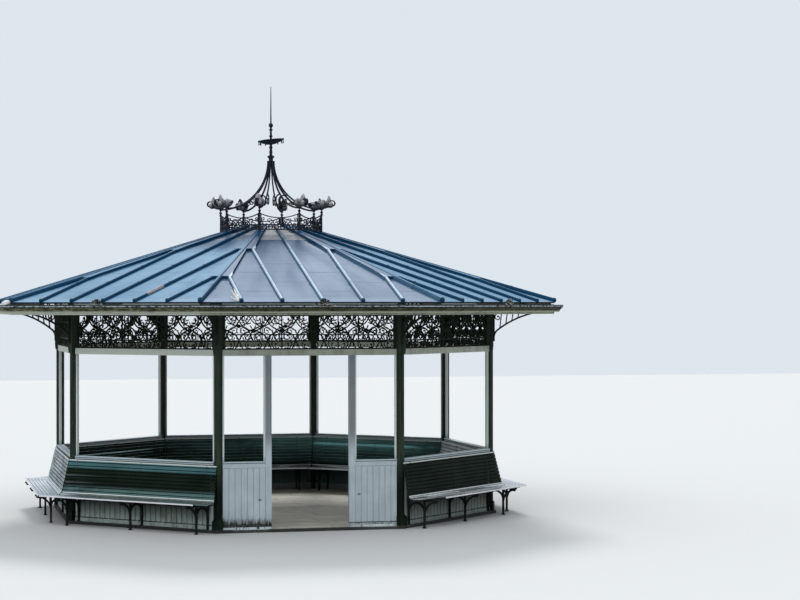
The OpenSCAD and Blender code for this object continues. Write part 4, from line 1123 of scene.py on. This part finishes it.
def strap(width, height, along):
    """A strap over a roll's joint: a short length of a slightly larger roll on two feet."""
    mesh = bmesh.new()
    outer_r = width / 2 + 0.004
    bmesh.ops.create_cone(mesh, segments=20, radius1=outer_r, radius2=outer_r, depth=along, cap_ends=True,
                          matrix=at(0, 0, height - width / 2) @ turned_by(90, "X"))
    feet = Matrix.Diagonal((width + 0.04, along, 0.006, 1))
    bmesh.ops.create_cube(mesh, size=1, matrix=at(0, 0, 0.002) @ feet)
    return as_shape(mesh)


def roll_run(x):
    """How far up the slope the roll at x reaches."""
    return min(facet_stop, FACET_LEN * (1 - abs(x) / HALF_EAVE) - ROLL_STOP)


roll_dome = dome(ROLL_W * 1.14, 0.03)
hip_dome = dome(HIP_W * 1.2, 0.036)
roll_strap = strap(ROLL_W, ROLL_H, 0.02)
hip_strap = strap(HIP_W, HIP_H, 0.024)
ends = Piece("roll_ends")
straps = Piece("roll_straps")
for k in range(8):
    for i in range(-2, 3):
        x = i * strip
        ends.add(roll_dome, on_facet(k) @ at(x, 0.012, ROLL_H - ROLL_W / 2))
        for joint in JOINTS:
            if joint < roll_run(x) - 0.05:
                straps.add(roll_strap, on_facet(k) @ at(x, joint, 0))
    ends.add(hip_dome, on_hip(k) @ at(0, 0.016, HIP_H - HIP_W / 2))
    straps.add(hip_strap, on_hip(k) @ at(0, 0.72, 0))
ends.finished(DOME, 50)
straps.finished(ROLL, 50)

# %% Cross welts and the lip of the eave
welts = Piece("roof_welts")
eave_lip = Piece("eave_lip")
for k in range(8):
    for i in range(-3, 3):
        for distance in (0.95, 1.9, 2.85) if i % 2 else (0.5, 1.45, 2.4):
            left, right = i * strip, (i + 1) * strip
            half_here = HALF_EAVE * (1 - distance / FACET_LEN) - HIP_W
            left = max(left + ROLL_W / 2, -half_here)
            right = min(right - ROLL_W / 2, half_here)
            if right - left > 0.08:
                seam = bar(right - left, 0.008, 0.002, 0.0007, 1)
                welts.add(seam, on_facet(k) @ at((left + right) / 2, distance, 0))
    lip = bar(2 * HALF_EAVE - 0.05, 0.01, 0.02, 0.003)
    eave_lip.add(lip, side_turn(k) @ at(0, -EAVE_A + 0.002, EAVE_Z - 0.011))
welts.finished(WELT)
eave_lip.finished(LIP)

# %% [markdown]
# ## What the weather and years have done to the roof
# On the left a length of one roll has lost its metal and shows the bare batten. Beside the doorway side's
# first roll the edge strip has torn away and stands up in splinters. A pale lead patch covers the far left
# corner. A stain in the finish could hint at them, but each one changes the shape of the roof, so each one
# is a piece.

# %% Bare batten, torn strip and lead patch
def split_wood(name, size, stretch, spread, dark, light):
    """Bare or torn wood in two tones that meet over a spread of the grain."""
    f = Finish(name)
    grain = f.noise(size, 4, 0.6, stretch)
    f.colour = f.mix(grain.over(0.5 - spread, 0.5 + spread), dark, light)
    return f.done(grain, 0.001, 0.5, 0.7 + grain * 0.15)


BARE = split_wood("bare_batten", 0.012, (0.4, 0.4, 1), 0.15, (0.13, 0.12, 0.13), (0.42, 0.4, 0.41))
TORN = split_wood("torn_strip", 0.02, (1, 1, 1), 0.1, (0.46, 0.44, 0.4), (0.8, 0.78, 0.74))
LEAD = cast_iron("lead_patch", (0.48, 0.5, 0.52), (0.74, 0.75, 0.76))

bare = Piece("bare_batten")
BATTEN_LEN, BATTEN_UP = 0.39, 0.49
batten_r = ROLL_W / 2 + 0.002
batten = shaped(bmesh.ops.create_cone, segments=20, radius1=batten_r, radius2=batten_r, depth=BATTEN_LEN,
                cap_ends=True, matrix=turned_by(90, "X"))
bare.add(batten, on_facet(7) @ at(strip, BATTEN_UP, ROLL_H - ROLL_W / 2))
bare.finished(BARE)

torn = Piece("torn_strip")
for shift, lean, lift, length, width in ((-0.03, 14, 14, 0.3, 0.036), (-0.055, 24, 20, 0.24, 0.03),
                                         (-0.04, 6, 8, 0.2, 0.028), (-0.07, 40, 10, 0.15, 0.022)):
    splinter = leaf(length, width, curl=12, thick=0.005, along=8, across=2)
    spot = on_facet(0) @ at(-2 * strip + 0.026 + shift, 0.02, 0.006) @ turned_by(90 + lean, "Z")
    torn.add(splinter, spot @ turned_by(-lift, "Y"))
torn.finished(TORN)

lead = Piece("lead_patch")
patch = shaped(bmesh.ops.create_uvsphere, u_segments=20, v_segments=10, radius=0.5,
               matrix=Matrix.Diagonal((0.15, 0.13, 0.085, 1)))
lead.add(patch, on_hip(6) @ at(0, -0.075, 0.008))
lead.finished(LEAD, 50)

# %% [markdown]
# ## Flags and ceiling
# The floor is laid with sandstone flags in courses, with open joints. A pattern in the finish would lie
# flat, so bevelled slabs are laid over the whole floor and cut to the octagon by eight planes. Overhead,
# narrow boards line the roof between the rafters.

# %% Flags
FLAG_T, FLAG_GAP, FLAG_RISE = 0.02, 0.012, 0.004
flags = bmesh.new()
y = -3.4
course = 0
while y < 3.4:
    depth = (0.46, 0.55, 0.4)[course % 3]
    x = -3.6 + chance.uniform(0, 0.5)
    while x < 3.5:
        width = chance.uniform(0.55, 0.95)
        slab = bar(width - FLAG_GAP, depth - FLAG_GAP, FLAG_T, 0.004)
        top = FLOOR_Z + FLAG_RISE + chance.uniform(-0.001, 0.001)
        slab.transform(at(x + width / 2, y + depth / 2, top - FLAG_T / 2))
        flags.from_mesh(slab)
        x += width
    y += depth
    course += 1
FLOOR_OUT = 0.11
FLAGS_A = (CIRCLE_R + FLOOR_OUT) * cos(TURN / 2) - 0.004
for k in range(8):
    outward = Matrix.Rotation(TURN * k, 3, "Z") @ Vector((0, -1, 0))
    cut_away(flags, outward * FLAGS_A, outward)
flagging = Piece("flagstones")
flagging.add(as_shape(flags), Matrix.Identity(4))
flagging.finished(STONE)

# %% Ceiling boards
ceiling = Piece("ceiling_boards")
CEILING_PITCH = 0.112
COVER_T = 0.034
for n in range(1, int((FACET_LEN - 0.2) / CEILING_PITCH)):
    distance = n * CEILING_PITCH
    half = HALF_EAVE * (1 - distance / FACET_LEN) - 0.03
    if half < 0.06:
        continue
    lath = bar(2 * half, CEILING_PITCH - 0.004, 0.01, 0.003, 1)
    ceiling.add(lath, *[on_facet(k) @ at(0, distance, -COVER_T - 0.004) for k in range(8)])
ceiling.finished(TIMBER)

# %% [markdown]
# ## The crown's leaves
# Each crown post ends in a crocket: a cup of broad leaves, the largest curling up and out over the roof, two
# splayed sideways, and buds behind. The frame has the cup and the keel. Thin curling leaves are hard to cut
# out of solids, so they are laid round the cup here, with the leaf from above.

# %% Crocket leaves
CROWN_H = 0.408
CROWN_TOP = APEX_Z - CROWN_R * tan(HIP_SLOPE) + CROWN_H
front_leaf = leaf(0.27, 0.175, 125, 0.75, 2, 0.007, 18, 6)
tip_leaf = leaf(0.13, 0.105, 170, 0.6, 1, 0.007, 14, 6)
side_leaf = leaf(0.175, 0.13, 135, 0.6, 2, 0.007, 14, 6)
bud_leaf = leaf(0.165, 0.115, 150, 0.7, 1, 0.007, 14, 6)
leaves = Piece("crocket_leaves")
for k in range(8):
    head = corner(k) @ at(CROWN_R, 0, CROWN_TOP)
    leaves.add(front_leaf, head @ at(0.008, 0, 0.022) @ turned_by(2, "Y"))
    for s in (-1, 1):
        leaves.add(tip_leaf, head @ at(0.13, s * 0.02, 0.03) @ turned_by(s * 24, "Z"))
        leaves.add(side_leaf, head @ at(0, s * 0.01, 0.026) @ turned_by(s * 58, "Z"))
        leaves.add(bud_leaf, head @ at(-0.006, 0, 0.028) @ turned_by(180 + s * 46, "Z"))
    leaves.add(bud_leaf, head @ at(-0.008, 0, 0.026) @ turned_by(180, "Z"))
leaves.finished(LEAF, 60)

# %% Drops, beads and collars of the crown
drop = turned([(0, -0.052), (0.006, -0.046), (0.011, -0.034), (0.006, -0.02), (0.004, -0.008),
               (0.009, -0.002), (0.009, 0.004), (0, 0.006)], 12)
knop = shaped(bmesh.ops.create_icosphere, subdivisions=2, radius=0.02)
COLLAR_Z = CROWN_TOP + 0.843
DISH_R, DISH_RISE = 0.196, 0.255
DISH = at(0, 0, COLLAR_Z + DISH_RISE) @ turned_by(-13, "Z") @ turned_by(-6, "Y")
beads = Piece("crown_beads")
for n in range(12):
    beads.add(drop, DISH @ turned_by(30 * n, "Z") @ at(DISH_R, 0, -0.006))
mast_ring = turned([(0, 0.012), (0.026, 0.01), (0.032, 0), (0.026, -0.01), (0, -0.012)], 16)
for rise in (0.075, 0.15, 0.33, 0.43):
    beads.add(mast_ring, at(0, 0, COLLAR_Z + rise))
beads.add(knop, *[corner(k) @ at(CROWN_R, 0, CROWN_TOP - 0.058) for k in range(8)])
beads.finished(CROWN, 60)

# %% [markdown]
# ## Crests of the gutter
# In the middle of each side a small cast crest stands on the gutter's lip: a fan of five leaves, with a
# scroll and a trailing leaf at each side. The frame has its flat outline. A bump would leave it as flat as a
# stamped plate, so the same curling leaf gives it relief.

# %% Gutter crests
FASCIA_IN, FASCIA_T, GUTTER_W = 0.03, 0.024, 0.13
GUTTER_OUT = EAVE_A - FASCIA_IN + FASCIA_T + GUTTER_W
CREST_Z = EAVE_Z - 0.036


def ring(big, small):
    """A round ring about Z."""
    mesh = bmesh.new()
    upright = at(big, 0, 0) @ turned_by(90, "X")
    points = bmesh.ops.create_circle(mesh, segments=8, radius=small, matrix=upright)["verts"]
    return spun(mesh, points + list({e for v in points for e in v.link_edges}), 20)


scroll_ring = ring(0.027, 0.006)
fan_leaf = leaf(0.092, 0.04, 55, 0.6, 1, 0.005, 10, 4)
trail_leaf = leaf(0.095, 0.026, 40, 0.5, 1, 0.005, 10, 4)
crests = Piece("gutter_crests")
for k in range(8):
    crest = side_turn(k) @ at(0, -GUTTER_OUT - 0.006, CREST_Z) @ face_out
    for angle in (90, 48, 132, 12, 168):
        crests.add(fan_leaf, crest @ turned_by(angle, "Z") @ at(0.006, 0, 0.002))
    for s in (-1, 1):
        scroll = crest @ at(s * 0.068, -0.014, 0)
        crests.add(scroll_ring, scroll).add(ball, scroll)
        crests.add(trail_leaf, crest @ at(s * 0.085, -0.024, 0.002) @ turned_by(90 - s * 78, "Z"))
    crests.add(ball, crest @ at(0, 0, 0.006))
crests.finished(CREST, 50)

# %% [markdown]
# ## Last lines
# The shapes that were only copied are removed.

# %% Remove the copied shapes
for mesh in [m for m in bpy.data.meshes if not m.users]:
    bpy.data.meshes.remove(mesh)
